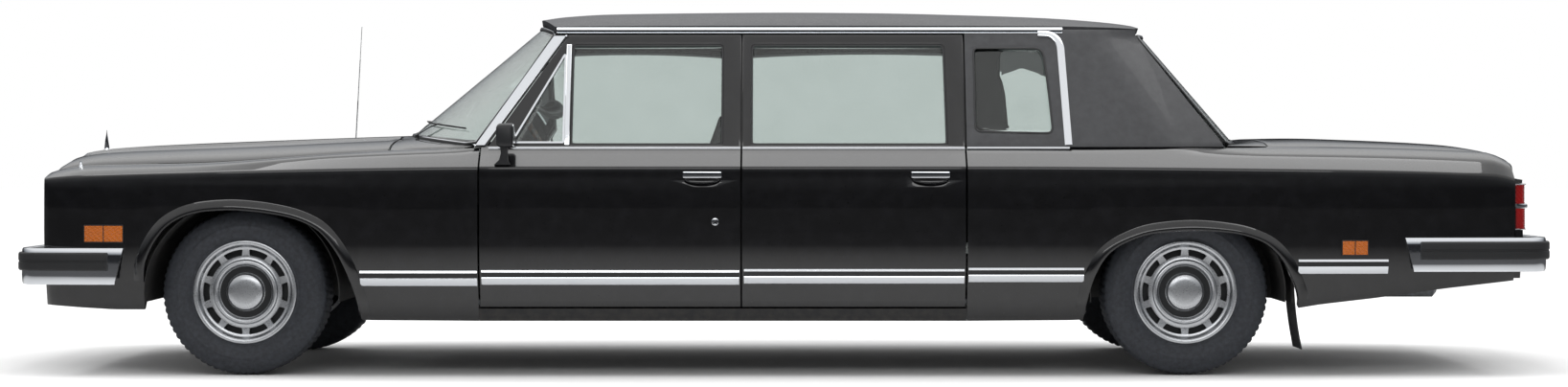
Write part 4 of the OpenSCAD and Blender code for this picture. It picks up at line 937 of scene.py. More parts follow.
# %% [markdown]
# ## Door fittings
# The handles are chromium bars with a rolled lower edge, each over its scooped recess, with
# a keyhole disc below. The mirrors are black shells on a foot, with their glass turned to
# the driver.

# %% Handles, locks, strips and mirrors
def on_skin(u, v, w):
    """A point on a door's flat skin: station, height, and how far it stands out."""
    return u, HALF - 5 + w, v


foot = lofted([[(u, v, z) for u, v in oblong(*sides, r, 4)] for z, r, *sides in
               ((868, 8, -1186, -1120, 1024, 1044), (888, 9, -1166, -1129, 1008, 1046),
                (915, 9, -1158, -1131, 1000, 1050), (946, 9, -1160, -1130, 1000, 1058))])
outline = oblong(-35, 35, -50, 50, [24, 7, 7, 24])
shell = lofted([[(-1140.5 + u * (0.3 + 0.7 * k), y, 988 + v * k) for u, v in outline] for y, k in
                ((975, 0.7), (979, 0.86), (988, 0.96), (1004, 1), (1058, 1), (1076, 0.96), (1085, 0.86),
                 (1089.5, 0.66))])
pair("mirror_*", merged(shell, foot), plastic, "door_front_*", modifiers=[rolled(2.5, 3, 35)])
mirror_pane = plate(oblong(984, 1080, 943, 1033, 9), [], 0, 2.4, facing(-1106.4, 1), 0.8)
pair("mirror_pane_*", mirror_pane, silver, "door_front_*")

for which, door in DOORS.items():
    x0, x1 = door["x"]
    bright, insert = side_strip(x0 + 7.5, x1 - 5.5, *door["strip"], 4)
    grip = plate(oblong(door["handle"], door["handle"] + 161, 814, 841, 9), [], 0.3, 12.2, on_skin, 4)
    parts = [bright, grip, belt_bead(x0 + (30 if which == "front" else 1), x1 - 1, 956)]
    if which == "front":
        disc, slot = circle(15, 24, middle=(-282, 635)), oblong(-283.2, -280.8, 628, 642, 0.8, 2)
        parts.append(plate(disc, [slot], 5.3, 9.8, on_skin, 1.2))
    body = f"door_{which}_*"
    pair(f"{body}_brightwork", merged(*parts), chrome, body, [f"fittings_{which}_*"])
    pair(f"{body}_insert", insert, rubber, body)
print("handles, locks and mirrors are on the doors")

# %% [markdown]
# ## The nose: grille, lamps and bumper
# A grille is one upright bar repeated, so Geometry Nodes set it out: a line of points across
# the opening, a thin bar on each point, then real geometry again. Its frame,
# the lamp bezels and the bars' cross pieces are chromium. Four square lamps have a round
# silvered bowl behind fluted glass.

# %% Grille bars by Geometry Nodes
def repeated(name, shape, start, end, count, material):
    """Sets a shape out along a straight line of points, in metres, and returns plain mesh."""
    one = loose(name + "_one", shape, material)
    tree = bpy.data.node_groups.new(name + "_row", "GeometryNodeTree")
    for label, kind in (("Start", "NodeSocketVector"), ("End", "NodeSocketVector"), ("Count", "NodeSocketInt")):
        tree.interface.new_socket(label, in_out="INPUT", socket_type=kind)
    tree.interface.new_socket("Geometry", in_out="OUTPUT", socket_type="NodeSocketGeometry")
    given = add(tree, "NodeGroupInput")
    line = add(tree, "GeometryNodeMeshLine", mode="END_POINTS")
    tree.links.new(given.outputs["Count"], line.inputs["Count"])
    tree.links.new(given.outputs["Start"], line.inputs["Start Location"])
    tree.links.new(given.outputs["End"], line.inputs["Offset"])
    source = add(tree, "GeometryNodeObjectInfo", s0=one)
    made = add(tree, "GeometryNodeInstanceOnPoints",
               [("Points", line.outputs[0]), ("Instance", source.outputs["Geometry"])])
    real = add(tree, "GeometryNodeRealizeInstances", [(0, made.outputs[0])])
    shown = add(tree, "GeometryNodeSetMaterial", [(0, real.outputs[0])])
    shown.inputs["Material"].default_value = material
    add(tree, "NodeGroupOutput", [(0, shown.outputs[0])])
    host = bpy.data.objects.new(name, bpy.data.meshes.new(name))
    bpy.context.scene.collection.objects.link(host)
    modifier = host.modifiers.new("row", "NODES")
    modifier.node_group = tree
    values = {"Start": [c / 1000 for c in start], "End": [c / 1000 for c in end], "Count": count}
    for item in tree.interface.items_tree:
        if item.in_out == "INPUT":
            modifier[item.identifier] = values[item.name]
    bpy.context.view_layer.update()
    mesh = bpy.data.meshes.new_from_object(host.evaluated_get(bpy.context.evaluated_depsgraph_get()))
    host.modifiers.remove(modifier)
    host.data = mesh
    bpy.data.objects.remove(one)
    return host


GRILLE_BARS = 23
bar = plate(oblong(-3, 3, 559, 806, 1.2, 2), [], 0, 22, facing(-3018), 1.2)
bars = repeated("grille_bars", bar, (0, -316.7, 0), (0, 316.7, 0), GRILLE_BARS, chrome)
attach(bars, "root")
surround = plate(oblong(-359, 359, 546, 819, 12), [oblong(-346, 346, 560, 805, 6)], -40, 0, facing(-3045.5), 4)
cross = [box_shape(-3034, -3026, -346, 346, z, z + 5) for z in (620, 682, 744)]
piece("grille_frame", merged(surround, *cross), chrome, replaces=["grille"])
print("grille:", GRILLE_BARS, "bars,", len(bars.data.polygons), "faces")

# %% [markdown]
# Each lamp is turned about its own axis, lying along the car: a bowl, and in front of it a
# lens of a few millimetres. The bezel is a plate with a round hole.

# %% Head lamps
LAMP_X, LAMP_Z, LAMP_R = -3043.5, 695, 66
bowl = [(0.01, -30)] + [(64 * math.sin(t), -30 + 24 * (1 - math.cos(t))) for t in np.linspace(0.15, 1.5, 9)]
bowl += [(LAMP_R, -5), (LAMP_R, -9), (62, -31), (0.01, -33)]
lens = [(0.01, 5.5), (20, 5.2), (45, 3.4), (63, 0.2), (64.5, -2), (63, -4), (45, -0.6), (20, 1.2), (0.01, 1.5)]
bezels, bowls, backs, panes = [], [], [], []
for y in (460, 610):
    outline = oblong(y - 74.7, y + 74.7, 600.3, 789.7, 12)
    forwards = lambda a, b, c: (LAMP_X - c, y + a, LAMP_Z + b)
    bezels.append(plate(outline, [circle(LAMP_R, 48, middle=(y, LAMP_Z))], -14, 0, facing(LAMP_X), 3))
    bowls.append(moved(turned(bowl), forwards))
    backs.append(plate(moved_out(outline, -3), [], -38, -33, facing(LAMP_X), 1))
    panes.append(moved(turned(lens), forwards))
piece("head_lamp_bezels", both(merged(*bezels)), chrome, replaces=["headlamps"])
piece("head_lamp_bowls", both(merged(*bowls, *backs)), silver)
piece("head_lamp_glass", both(merged(*panes)), lamp_glass)
print("head lamps: four bowls of", 2 * LAMP_R, "mm")

# %% [markdown]
# ## Side and tail lamps
# The side lamps are orange lenses that follow the wing, in a thin black rubber frame. The tail
# lamps stand upright at the corners of the tail, red, split by a bright bar, and their
# lenses are moulded in level ribs.

# %% Side and tail lamps
lenses, frames = [], []
for x0, x1, z0, z1 in ((-2872, -2705, 548, 622), (2282, 2394, 495, 560)):
    edge, middle = oblong(x0, x1, z0, z1, 6), (x0 + x1) / 2
    bar = [(middle - 2, z0 + 3), (middle + 2, z0 + 3), (middle + 2, z1 - 3), (middle - 2, z1 - 3)]
    frames += [plate(edge, [moved_out(edge, -4)], 0.5, 5, on_body, 1.2), plate(bar, [], 0.5, 6.4, on_body, 0.8)]
    heights = np.linspace(z0 + 4.6, z1 - 4.6, 17)
    lenses.append(sheet_shell([[on_body(x, z, 4.6 + k % 2) for k, z in enumerate(heights)]
                               for x in np.linspace(x0 + 4.6, x1 - 4.6, 12)], 4))
piece("side_lamp_lenses", both(merged(*lenses)), amber, replaces=["marker_lamps"], sharp=20)
piece("side_lamp_frames", both(merged(*frames)), rubber)

lenses, frames = [], []
for z0, z1, top in ((603, 688, 963), (707, 786, 956)):
    line = filleted([(794, 3052), (top - 10, 3052), (top - 3, 3010)], [0, 26, 0], 8)
    rows = [[(x + 2.5 * (k % 2), y, z) for y, x in line] for k, z in enumerate(np.linspace(z0, z1, 19))]
    # The back follows 6 mm behind, and meets the face at the lamp's outer end.
    back = [[(x - 6 * (k < len(row) - 1), y - 5, z) for k, (x, y, z) in enumerate(row)] for row in rows]
    lenses.append(two_skins(rows, back))
edge = filleted([(793.5, 3052), (948, 3052), (961, 3008)], [0, 26, 0], 8)
for z0, z1, out in ((600.8, 604, 7), (688, 707, 13), (785.5, 789.3, 7)):
    rows = [[(x + out * (0.75 if z in (z0, z1) else 1), y, z) for y, x in edge] for z in np.linspace(z0, z1, 5)]
    frames.append(two_skins(rows, [[(3008, y - 2, z) for _, y, z in row] for row in rows]))
piece("tail_lamp_lenses", both(merged(*lenses)), red_lens, replaces=["tail_lamps"], sharp=20)
piece("tail_lamp_frames", both(merged(*frames)), chrome)
backs = [box_shape(3007, 3040, 795, 948, 606, 685), box_shape(3007, 3040, 795, 945, 709, 784)]
piece("tail_lamp_backs", both(merged(*backs)), silver)
print("side lamps: 4, tail lamps: 2")

# %% [markdown]
# ## Bumpers
# Each bumper is one wrapped bar of bright metal with rolled edges. A thick black rubber
# strip is let into its face and stands proud of it, with a groove along its middle. Both are
# profiles swept round the same plan line.

# %% Bumpers and rubbers
BUMPER_FACE = 3155.4


def wrapped(profile, sign, x_bar, x_end, z, out=0.0):
    """A profile carried round a bumper's plan line: sign is -1 at the nose and 1 at the tail."""
    half, x_face = HALF - 14.5 + out, sign * BUMPER_FACE
    x1, face = x_face - sign * 175, x_face + sign * out
    line = [(x_end, half - 10 * (x_end - x_bar) / (x1 - x_bar)), (x1, half - 10),
            (x_face - sign * 44, half - 34), (x_face - sign * 6 + sign * out, half - 110),
            (face, half - 300), (face, 0)]
    line = filleted(line, [0, 50, 40, 50, 80, 0], 8)
    path = [(x, y, z) for x, y in line] + [(x, -y, z) for x, y in line[-2::-1]]
    return swept(path, [(-sign * a, b) for a, b in profile])


for name, sign, x_bar, x_rubber, z0, z1, z_rubber in (("front", -1, -2706, -2770, 376, 526, 471),
                                                      ("rear", 1, 2544, 2608, 429, 569, 516)):
    h, g = (z1 - z0) / 2, 37
    bowed = [(-16, h - 3), (-12, h), (-5, h - 0.5), (-1.5, h - 6), (0, h * 0.6), (0, -h * 0.5), (-2, 9 - h),
             (-6, 0.7 - h), (-13, -h), (-16, 4 - h), (-14.2, 6 - h), (-13.8, h - 6)]
    # The ends are cut at a slant, longer at the top.
    slanted = lambda x, y, z: (x + sign * 36 * (z1 - z) / (z1 - z0) * max(0, 1 - abs(x - x_bar) / 90), y, z)
    piece(f"{name}_bumper_bar", moved(wrapped(bowed, sign, x_bar, x_bar, (z0 + z1) / 2), slanted), chrome,
          replaces=[f"{name}_bumper"], sharp=50)
    strip = [(-2, -g), (9, -g), (13, 4 - g), (14, 9 - g), (14, -5), (11.5, -3.5), (11.5, 3.5), (14, 5),
             (14, g - 9), (13, g - 4), (9, g), (-2, g)]
    piece(f"{name}_bumper_strip", wrapped(strip, sign, x_bar, x_rubber, z_rubber, 0.3), rubber,
          replaces=["bumper_rubbers"] if name == "front" else [], sharp=50)
print("bumpers and their strips: 4 pieces")

# %% [markdown]
# ## Wheels and tyres
# Each wheel wears a large stamped cover: a bright rolled rim, ten slots pressed through a
# flat band, a raised bright ring, a dark dish and a domed cap, whose face is left plain. The
# tyre has a rounded shoulder, a few fine rings on its side wall and a tread of four grooves,
# crossed by narrow cuts all round it.

# %% Wheel covers
corners = [(28.6, -18), (60, -18), (60, 34), (110, 50), (180, 52), (186, -94), (202, -94), (202.7, 93),
           (212, 97), (213, 103), (205, 105), (196, 102), (190, 91), (186, 84), (178, 81), (147, 77), (133, 80),
           (130, 87), (122, 90), (116, 87), (107, 74), (92, 72), (80, 75), (74, 82), (72, 91), (55, 97),
           (28, 99.4), (0.01, 100), (0.01, 62), (28.6, 52)]
profile = filleted(corners, [0, 2, 6, 8, 6, 2, 2, 3, 2, 2, 3, 4, 4, 4, 5, 6, 3, 2, 3, 3, 6, 8, 4, 3, 3, 8, 10,
                             0, 0, 0], 3)
cover = turned([tuple(q) for q in profile] + [(28.6, 52)], 120)
edge = [(150, t) for t in np.linspace(-0.19, 0.19, 9)] + [(153, 0.212), (173, 0.235)]
edge += [(176, t) for t in np.linspace(0.215, -0.215, 9)] + [(173, -0.235), (153, -0.212)]
slots = [lofted([[(r * math.cos(a + t), r * math.sin(a + t), h) for r, t in edge] for h in (47, 120)])
         for a in around_circle(10)]
disc = turned([(106, 75.6), (93, 73.4), (81, 76.4), (79, 73), (93, 69), (107, 71)], 72)
# Behind the slots lies a matt black ring: painted shade, a dark sheet that fills what the slots show.
slot_shade_ring = turned([(122, 44), (183, 44), (183, 47), (122, 47)], 72)
pattern = loose("cover_pattern", cover, stainless)
carve(pattern, merged(*slots), rolled(1.2, 2, 40), sharp=35)
cover = [tuple(v.co * 1000) for v in pattern.data.vertices], [tuple(f.vertices) for f in pattern.data.polygons]
bpy.data.objects.remove(pattern)
print("wheel cover:", len(cover[1]), "faces")

# %% [markdown]
# The tyre is one ring of rubber: its section goes round the axle in 216 steps, so that every
# third one can be drawn in as a cut of the tread.

# %% Tyres
def groove(r, h):
    return [(r, h - 5), (r - 7, h - 3.6), (r - 7, h + 3.6), (r, h + 5)]


half_side = filleted([(203, 93), (214, 100), (224, 98.5), (226, 101), (252, 113), (268, 116.6), (270, 117.5),
                      (276, 117.5), (278, 116.4), (300, 113), (322, 103), (336, 92), (341, 80)],
                     [0, 4, 2, 3, 30, 2, 1, 1, 2, 20, 16, 12, 0], 3)
crown = [tuple(q) for q in half_side] + [q for h in (56, 19) for q in groove(342 - h / 60, h)[::-1]]
outer = crown + [(r, -h) for r, h in crown[::-1]]
inner = [(324, -72), (290, -98), (250, -101), (203, -76), (203, 76), (250, 101), (290, 98), (324, 72)]
rings = []
for k, a in enumerate(around_circle(216)):
    # Every third ring is cut 5 mm deep into the tread, and the cuts lean a little.
    ring = [(r - 5 * (k % 3 == 0 and r > 334), a + 0.0002 * h, h) for r, h in outer + inner]
    rings.append([(r * math.cos(t), r * math.sin(t), h) for r, t, h in ring])
tyre = lofted(rings + rings[:1], ends=False)
for axle, x in (("front", FRONT_HUB), ("rear", REAR_HUB)):
    at_hub = lambda a, b, c: (x + a, HUB_Y + c, HUB_Z + b)
    body = f"wheel_{axle}_*"
    pair(f"cover_{axle}_*", moved(cover, at_hub), stainless, body, [body], sharp=35)
    # The dish piece also carries the ring of painted shade behind the slots.
    pair(f"cover_dish_{axle}_*", moved(merged(disc, slot_shade_ring), at_hub), dish, body)
    pair(f"tyre_{axle}_*_rubber", moved(tyre, at_hub), tread, body, [f"tyre_{axle}_*"], sharp=32)
print("wheels and tyres: 4 of each, tyre", len(tyre[1]), "faces")

# %% [markdown]
# ## Bonnet ornament, wipers and aerial
# A thin upright blade stands at the nose, with nothing on it. The wipers are black, with a
# rubber blade in a slim bridge; the aerial is a telescoping rod in three thicknesses.

# %% Small things outside
blade = [(-3001, 0), (-2978, 0), (-2984, 40), (-2988, 66), (-2990, 86), (-2992, 66), (-2997, 40)]
base_z = float(hood_middle(-2990)) + 0.3
fin = plate([(x, base_z + 8 + z) for x, z in filleted(blade + blade[:1], 4, 3)[:-1]], [], -2, 2,
            lambda u, v, w: (u, w, v), 1.2)
plinth = turned([(0.01, 0), (14, 0), (14, 3), (12, 6), (7, 9), (4, 12), (0.01, 12)], 32)
plinth = moved(plinth, lambda x, y, z: (x - 2990, y, z + base_z))
piece("bonnet_ornament", merged(fin, plinth), chrome, "hood", ["hood_ornament"])

OFF_SCREEN = np.array([-0.6, 0, 0.8])
screen_at = lambda u, s, out: screen_base(u) * (1 - s) + screen_top(u) * s + OFF_SCREEN * out
arms, blades = [], []
for foot_u, u0, u1 in ((-0.5, -0.86, -0.34), (0.12, -0.14, 0.44)):
    base = screen_base(foot_u + 0.02)
    foot, middle = np.array([base[0] - 14, base[1], base[2] + 0.3]), (u0 + u1) / 2
    bend = screen_at((foot_u + middle) / 2, 0.07, 19)
    arm = filleted([foot + [0, 0, 9], bend, screen_at(middle, 0.11, 14)], 60, 8)
    arms.append(swept(arm, [(-5, -1.5), (5, -1.5), (4, 2.5), (-4, 2.5)], OFF_SCREEN))
    pivot = turned([(0.01, 0), (9, 0), (9, 10), (6, 13.5), (0.01, 14)], 24)
    arms.append(moved(pivot, lambda *p: foot + p))
    line = [screen_at(u, 0.11, 11) for u in np.linspace(u0, u1, 22)]
    arms.append(swept(line, [(-2.5, 0), (2.5, 0), (1.5, 3.5), (-1.5, 3.5)], OFF_SCREEN))
    blades.append(swept(line, [(-1, -4), (1, -4), (2.2, 0.2), (-2.2, 0.2)], OFF_SCREEN))
piece("wiper_arms", merged(*arms), plastic, replaces=["wipers"])
piece("wiper_blades", merged(*blades), rubber)

low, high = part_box("antenna")
foot = np.array([low.x + 0.012, (low.y + high.y) / 2, low.z]) * 1000
tip = np.array([high.x - 0.003, (low.y + high.y) / 2, high.z]) * 1000
base = turned([(0.01, 0), (12, 0), (12, 4), (9, 9), (6, 20), (3.4, 24), (0.01, 24)], 24)
along_rod = lambda t: foot * (1 - t) + tip * t
rods = [moved(base, lambda *p: foot + p)]
for a, b, r in ((0.03, 0.42, 2.5), (0.41, 0.74, 1.9), (0.73, 0.988, 1.3)):
    rods.append(swept([along_rod(a), along_rod(b)], circle(r, 10), (0, 1, 0)))
ball = turned([(0.01, -3), (2.2, -2), (3, 0), (2.2, 2), (0.01, 3)], 12)
rods.append(moved(ball, lambda *p: along_rod(0.99) + p))
piece("aerial", merged(*rods), chrome, replaces=["antenna"], slot="steel")
SOCKET_X = -2923
socket = turned([(0.01, 0), (9, 0), (8, 8), (6, 11), (5, 26), (0.01, 27)], 20)
socket_y = (HALF - plan_inset(SOCKET_X) - 75 + wing_inner(SOCKET_X)) / 2
socket_z = (shoulder_z(SOCKET_X) + top_z(SOCKET_X)) / 2 + 1
socket = moved(socket, lambda x, y, z: (x + SOCKET_X, y + socket_y, z + socket_z))
piece("pennant_sockets", both(socket), chrome)
print("ornament, wipers, aerial and two plain sockets")

# %% [markdown]
# ## Seats
# A car seat is a sprung frame under foam, sewn into its cover. Each pad is one closed form:
# its outline in side view is drawn in at both ends like a pillow, swells between its sewn
# channels, and has a cord along its edges. Noise of a millimetre or two stands for the
# slack of the cover. The front seats wear leather, the rear bench wears cloth.

# %% Padded pieces
def pad(outline, y0, y1, seams=(), crown=8, end=30, slack=1.6, channel=6):
    """A stuffed pad between two stations across the car, sewn down along its channels."""
    at = set(np.linspace(y0 + end, y1 - end, 26)) | {y + d for y in seams for d in (-14, -7, -3, 0, 3, 7, 14)}
    at |= {e + s * end * (1 - math.cos(t)) for e, s in ((y0, 1), (y1, -1)) for t in np.linspace(0.25, 1.571, 7)}
    rings = []
    for y in sorted(at):
        near = min(y - y0, y1 - y, end)
        inset = end * (1 - math.sqrt(max(0.0, 1 - (1 - near / end) ** 2))) * 0.8
        inset += crown * ((2 * (y - y0) / (y1 - y0) - 1) ** 2)
        inset += sum(channel * math.exp(-((y - s) / 6) ** 2) for s in seams)
        ring = moved_out(outline, -inset)
        rings.append([(q[0] + slack * noise.noise(Vector((q[0], y, q[1])) / 70),
                       y, q[1] + slack * noise.noise(Vector((q[1], y, q[0])) / 70)) for q in ring])
    return lofted(rings)


def dense(corners, radius, gap=16):
    """A rounded outline with points at even steps."""
    line = rounded(corners, radius, 6)
    out = []
    for a, b in zip(line, line[1:] + line[:1]):
        n = max(1, round(math.dist(a, b) / gap))
        out += [tuple(np.array(a) + (np.array(b) - a) * k / n) for k in range(n)]
    return out


def piping(outline, y):
    """A sewn cord of 7 mm round a pad, 10 mm inside its outline."""
    line = [(x, y, z) for x, z in moved_out(outline, -10)]
    return swept(line, circle(3.5, 8), (0, 1, 0), loop=True)


def seat(name, parts, cover, base, stands):
    """Pads with their cords, and the hard things that hold them."""
    for part, outline, y0, y1, seams in parts:
        made = piece(f"{name}_{part}", pad(outline, y0, y1, seams), cover, replaces=[base], sharp=60)
        cords = merged(piping(outline, y0 + 9), piping(outline, y1 - 9))
        piece(f"{name}_{part}_cords", cords, leather, sharp=60)
    piece(f"{name}_stand", merged(*stands), plastic, replaces=[base])


front_cushion = dense([(-930, 470), (-478, 446), (-462, 540), (-490, 634), (-930, 648), (-966, 600)],
                      [30, 30, 30, 40, 46, 36])
front_back = dense([(-486, 640), (-430, 452), (-352, 540), (-262, 1060), (-280, 1080), (-318, 1082)],
                   [20, 30, 40, 24, 20, 26])
head_pad = dense([(-329, 1082), (-268, 1082), (-258, 1130), (-262, 1236), (-290, 1250), (-324, 1238),
                  (-334, 1140)], [14, 14, 20, 26, 12, 24, 20])
for n, s in SIDES.items():
    y0, y1 = sorted((s * 158, s * 682))
    seams = [y0 + 110, y0 + 262, y1 - 110]
    parts = [("cushion", front_cushion, y0, y1, seams), ("back", front_back, y0 + 6, y1 - 6, seams),
             ("headrest", head_pad, *sorted((s * 306, s * 534)), [])]
    rods = [swept([(-300, s * y, 1030), (-297, s * y, 1110)], circle(6, 12), (0, 1, 0)) for y in (372, 468)]
    base = spanned(rounded([(-910, 372), (-490, 372), (-480, 452), (-924, 474)], 12), y0 + 40, y1 - 40)
    rails = [box_shape(-930, -470, s * y - 14, s * y + 14, 357.5, 374) for y in (230, 610)]
    seat(f"front_seat_{n}", parts, leather, "front_seats", [base, *rods, *rails])
rear_cushion = dense([(940, 470), (1215, 470), (1232, 596), (1392, 604), (1374, 660), (1000, 684), (940, 636)],
                     [30, 20, 30, 10, 40, 60, 36])
rear_back = dense([(1368, 668), (1392, 604), (1584, 596), (1594, 920), (1556, 980), (1506, 982)],
                  [20, 20, 20, 30, 26, 30])
seams = [-414, -207, 0, 207, 414]
seat("rear_bench", [("cushion", rear_cushion, -622, 622, seams), ("back", rear_back, -622, 622, seams)], cloth,
     "rear_seat", [box_shape(950, 1222, -590, 590, 357.5, 474)])
print("seats: two in front with head rests, and a bench of", len(seams) + 1, "panels")

# %% [markdown]
# ## Dashboard, steering wheel and partition
# The dash is a padded roll over a strip of walnut, with a hooded cluster in front of the
# driver. The wheel has a thick moulded rim on three spokes. A low wall with a wooden rail
# parts the driver from the passengers. Dials are plain discs, without figures.

# %% Dashboard
roll = dense([(-1540, 700), (-1540, 900), (-1330, 928), (-1205, 914), (-1182, 880), (-1196, 852), (-1222, 846),
              (-1206, 764), (-1256, 700)], [10, 20, 60, 26, 20, 12, 6, 20, 20])
dash = [spanned(roll, (-719, 6), (-717, 2), (-711, 0), (711, 0), (717, 2), (719, 6))]
hood = dense([(-1300, 900), (-1192, 896), (-1180, 930), (-1212, 938), (-1300, 928)], [4, 4, 8, 10, 4], 8)
dash.append(spanned(hood, (-580, 5), (-574, 0), (-226, 0), (-220, 5)))
COLUMN_SLOPE = math.radians(29)
axis = np.array([math.cos(COLUMN_SLOPE), 0, math.sin(COLUMN_SLOPE)])
hub = np.array([-924.0, -400.0, 946.0])
dash.append(swept([hub - axis * d for d in (325, 150, 149, 26)], circle(26, 24), (0, 1, 0)))
dash.append(swept([hub - axis * 96, hub - axis * 96 + [8, 150, 30]], circle(4, 10), (1, 0, 0)))
piece("dash_roll", merged(*dash), plastic, replaces=["dashboard"])
fascia = plate(oblong(-700, 700, 768, 842, 10), [], 0, 7, facing(-1209, 1), 1.5)
piece("dash_wood", fascia, walnut)
large = turned([(0.01, 0), (38, 0), (38, 5), (34, 7), (33, 4), (0.01, 4)], 32)
small = turned([(0.01, 0), (20, 0), (20, 5), (17, 7), (16, 4), (0.01, 4)], 24)
dials = [moved(dial, lambda a, b, c: (c - 1202, a + y, b + 806)) for dial, stations in
         ((large, (-470, -330)), (small, (-590, -220, 60, 120, 0))) for y in stations]
piece("dash_dials", merged(*dials), chrome)

# %% [markdown]
# The wheel's points are counted round its column: a radius, an angle and a height along it.

# %% Steering wheel
RIM_R = 196
side, rise = np.array([0, 1.0, 0]), np.cross(axis, [0, 1.0, 0])
turn = lambda r, t, h=0: hub + (side * math.cos(t) + rise * math.sin(t)) * r + axis * h
rim = swept([turn(RIM_R, t) for t in around_circle(96)], circle(11.6, 16), axis, loop=True)
grips = [swept([turn(RIM_R, t0 + t) for t in (0, 0.01, 0.02)], circle(12.2, 16), axis)
         for t0 in around_circle(60)]
boss = turned([(0.01, -20), (36, -20), (40, -14), (41, -2), (36, 8), (20, 11), (0.01, 12)], 40)
boss = moved(boss, lambda a, b, c: hub + side * a + rise * b + axis * c)
spoke = ((34, 24, -4), (110, 17, -6), (189, 12, -1))
spokes = [lofted([[turn(r, t, h) + np.cross(axis, turn(1, t) - hub) * w for w, h in
                   ((-q, d - 5), (q, d - 5), (q, d + 2), (-q, d + 2))] for r, q, d in spoke])
          for t in (math.pi, 0, 1.5 * math.pi)]
wheel = merged(rim, boss, *spokes, *grips)
piece("steering_wheel_moulded", wheel, plastic, "steering_wheel", ["steering_wheel"])
horn = swept([turn(96, t, 3) for t in np.linspace(math.pi, 2 * math.pi, 30)], circle(2.6, 10), axis)
piece("horn_ring", horn, chrome, "steering_wheel")

# %% [markdown]
# The wall behind the driver is a padded slab with two panels pressed in; the headlining
# hangs 40 mm under the roof and follows its crown.

# %% Partition, inner mirror and headlining
wall = [spanned(dense([(-136, 462), (-112, 462), (-112, 905), (-136, 905)], 4), -818, 818)]
for y in (-1, 1):
    wall.append(box_shape(-136, -112, y * 480 - 320, y * 480 + 320, 358, 463))
    wall.append(plate(oblong(y * 410 - 330, y * 410 + 330, 500, 860, 16), [], 0, 2.5, facing(-112, 1), 1))
piece("partition_wall", merged(*wall), cloth, replaces=["partition"])
rail = dense([(-137.5, 903), (-110.5, 903), (-110.5, 922), (-118, 929.5), (-130, 929.5), (-137.5, 922)], 3)
piece("partition_rail", spanned(rail, -819, 819), walnut)
glass_back = spanned(dense([(-1066, 1274), (-1052, 1274), (-1046, 1326), (-1060, 1326)], 4), -118, 118)
stem = swept([(-1056, 0, 1310), (-1030, 0, 1370), (-1014, 0, 1402)], circle(5, 10), (0, 1, 0))
piece("inner_mirror", merged(glass_back, stem), plastic)
lining = [[(x, u * (roof_half(x) - 50), roof_z(x, u * u) - 40) for u in np.linspace(-1, 1, 17)]
          for x in np.linspace(-980, 1330, 40)]
piece("headlining", sheet_shell(lining, 3, UPWARDS), headcloth)

# %% [markdown]
# ## Door cards
# Each door is lined: a padded card with a sewn line, a wooden cap under the glass, an arm
# rest and a pull. The card lies in the 8 mm that the door's back leaves free.

# %% Door linings
CARD_Y = HALF - 129.4
for which, door in DOORS.items():
    x0, x1 = door["x"][0] + 26, door["x"][1] - 40
    middle = (x0 + x1) / 2
    inward = lambda u, v, w: (u, CARD_Y - w, v)
    card = plate(oblong(x0, x1, 400, 884, 14), [], -4, 3.2, inward, 1.4)
    sewn = [inward(u, v, 3.4) for u, v in oblong(x0 + 40, x1 - 40, 520, 800, 30, 6)]
    rest = rounded([(0, 0), (46, 6), (50, 30), (46, 44), (0, 48)], 8)
    rest = lofted([[inward(middle + x, 640 + v, 3 + u * k) for u, v in rest] for x, k in
                   ((-190, 0.35), (-180, 0.8), (-160, 1), (160, 1), (180, 0.8), (190, 0.35))])
    cap = rounded([(-4, 0), (5, 0), (6, 12), (3, 26), (-4, 28)], 2)
    pull = [inward(middle + x, z, w) for x, z, w in
            ((120, 730, 3), (120, 730, 30), (230, 742, 30), (230, 742, 3))]
    body = f"door_{which}_*"
    sewn = swept(sewn, circle(2.2, 6), (0, 1, 0), loop=True)
    pair(f"{body}_card", merged(card, sewn, rest), leather, body, sharp=50)
    pair(f"{body}_wood_cap", lofted([[inward(x, 886 + v, u) for u, v in cap] for x in (x0, x1)]), walnut, body)
    pair(f"{body}_pull", swept(filleted(pull, 16, 5), circle(5, 10)), chrome, body)
print("cabin: dash, wheel, partition, mirror, lining and four door cards")

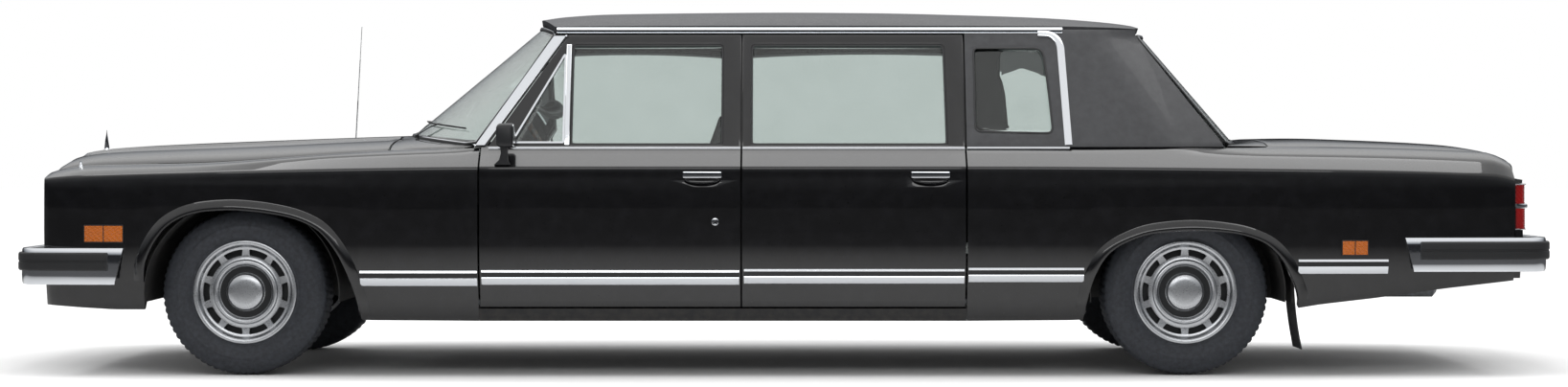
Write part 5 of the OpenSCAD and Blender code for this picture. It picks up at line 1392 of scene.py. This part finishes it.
# %% [markdown]
# ## Underneath
# A car stands on a satin black frame, and what is bolted to it is cast, sprayed or bare
# steel that has dulled. The car's own solids are kept here; they only get their finishes.
# The wheels turn inside dark housings, so that no light shows through the body.

# %% Finishes of the running gear
dressed = {"chassis_frame": under, "floor_pan": under, "inner_panels": under, "front_panel": enamel,
           "tail_panel": enamel, "pillars": shut_enamel, "powertrain": cast, "rear_axle": under,
           "front_suspension": under, "exhaust": steel, "fuel_tank": under, "knuckle_left": cast,
           "knuckle_right": cast}
for node, made in dressed.items():
    solid = bpy.data.objects[node]
    solid.data.materials.clear()
    solid.data.materials.append(made)
print("CAD solids with a finish of their own:", len(dressed))

# %% [markdown]
# A housing is a half tunnel with a wall on its inner side. The flaps are sheets of rubber
# that bend a little, and the posts close the gaps that the doors shut against.

# %% Wheel housings, mud flaps and shut posts
def housing(hub, radius, inner, outer=1004):
    """A half tunnel over a wheel, and the wall behind it with room for the arms or the axle."""
    line = [(hub + radius * math.cos(t), HUB_Z + radius * 0.95 * math.sin(t))
            for t in np.linspace(-0.1, math.pi + 0.1, 30)]
    tunnel = sheet_shell([[(x, y, z) for y in np.linspace(inner, outer, 5)] for x, z in line], -2.5, UPWARDS)
    wall = plate([(hub + 190, 320), *line, (hub - 190, 320), (hub - 190, 560), (hub + 190, 560)], [], -1.5, 1.5,
                 lambda u, v, w: (u, inner + w, v), 0.5)
    return merged(tunnel, wall)


liners = merged(housing(FRONT_HUB, 399, 518), housing(REAR_HUB, 399, 632))
piece("wheel_housings", both(liners), under)
flap = [[(2105 + 34 * ((420 - z) / 315) ** 2 + 3 * math.sin((y - 700) / 220 * math.pi), y, z)
         for z in np.linspace(420, 106, 12)] for y in np.linspace(704, 916, 9)]
piece("mud_flap_sheets", both(sheet_shell(flap, 6, (1, 0, 0))), rubber, replaces=["mud_flaps"],
      modifiers=[rolled(1.5)])
posts = [sheet_shell([[leaning(x, z, -46) for x in edges] for z in np.linspace(946, 1408, 8)], 8)
         for edges in ((742, 800), (-200, -150))]
piece("shut_posts", both(merged(*posts)), shut_enamel)
print("housings, flaps and posts: 3 pieces")
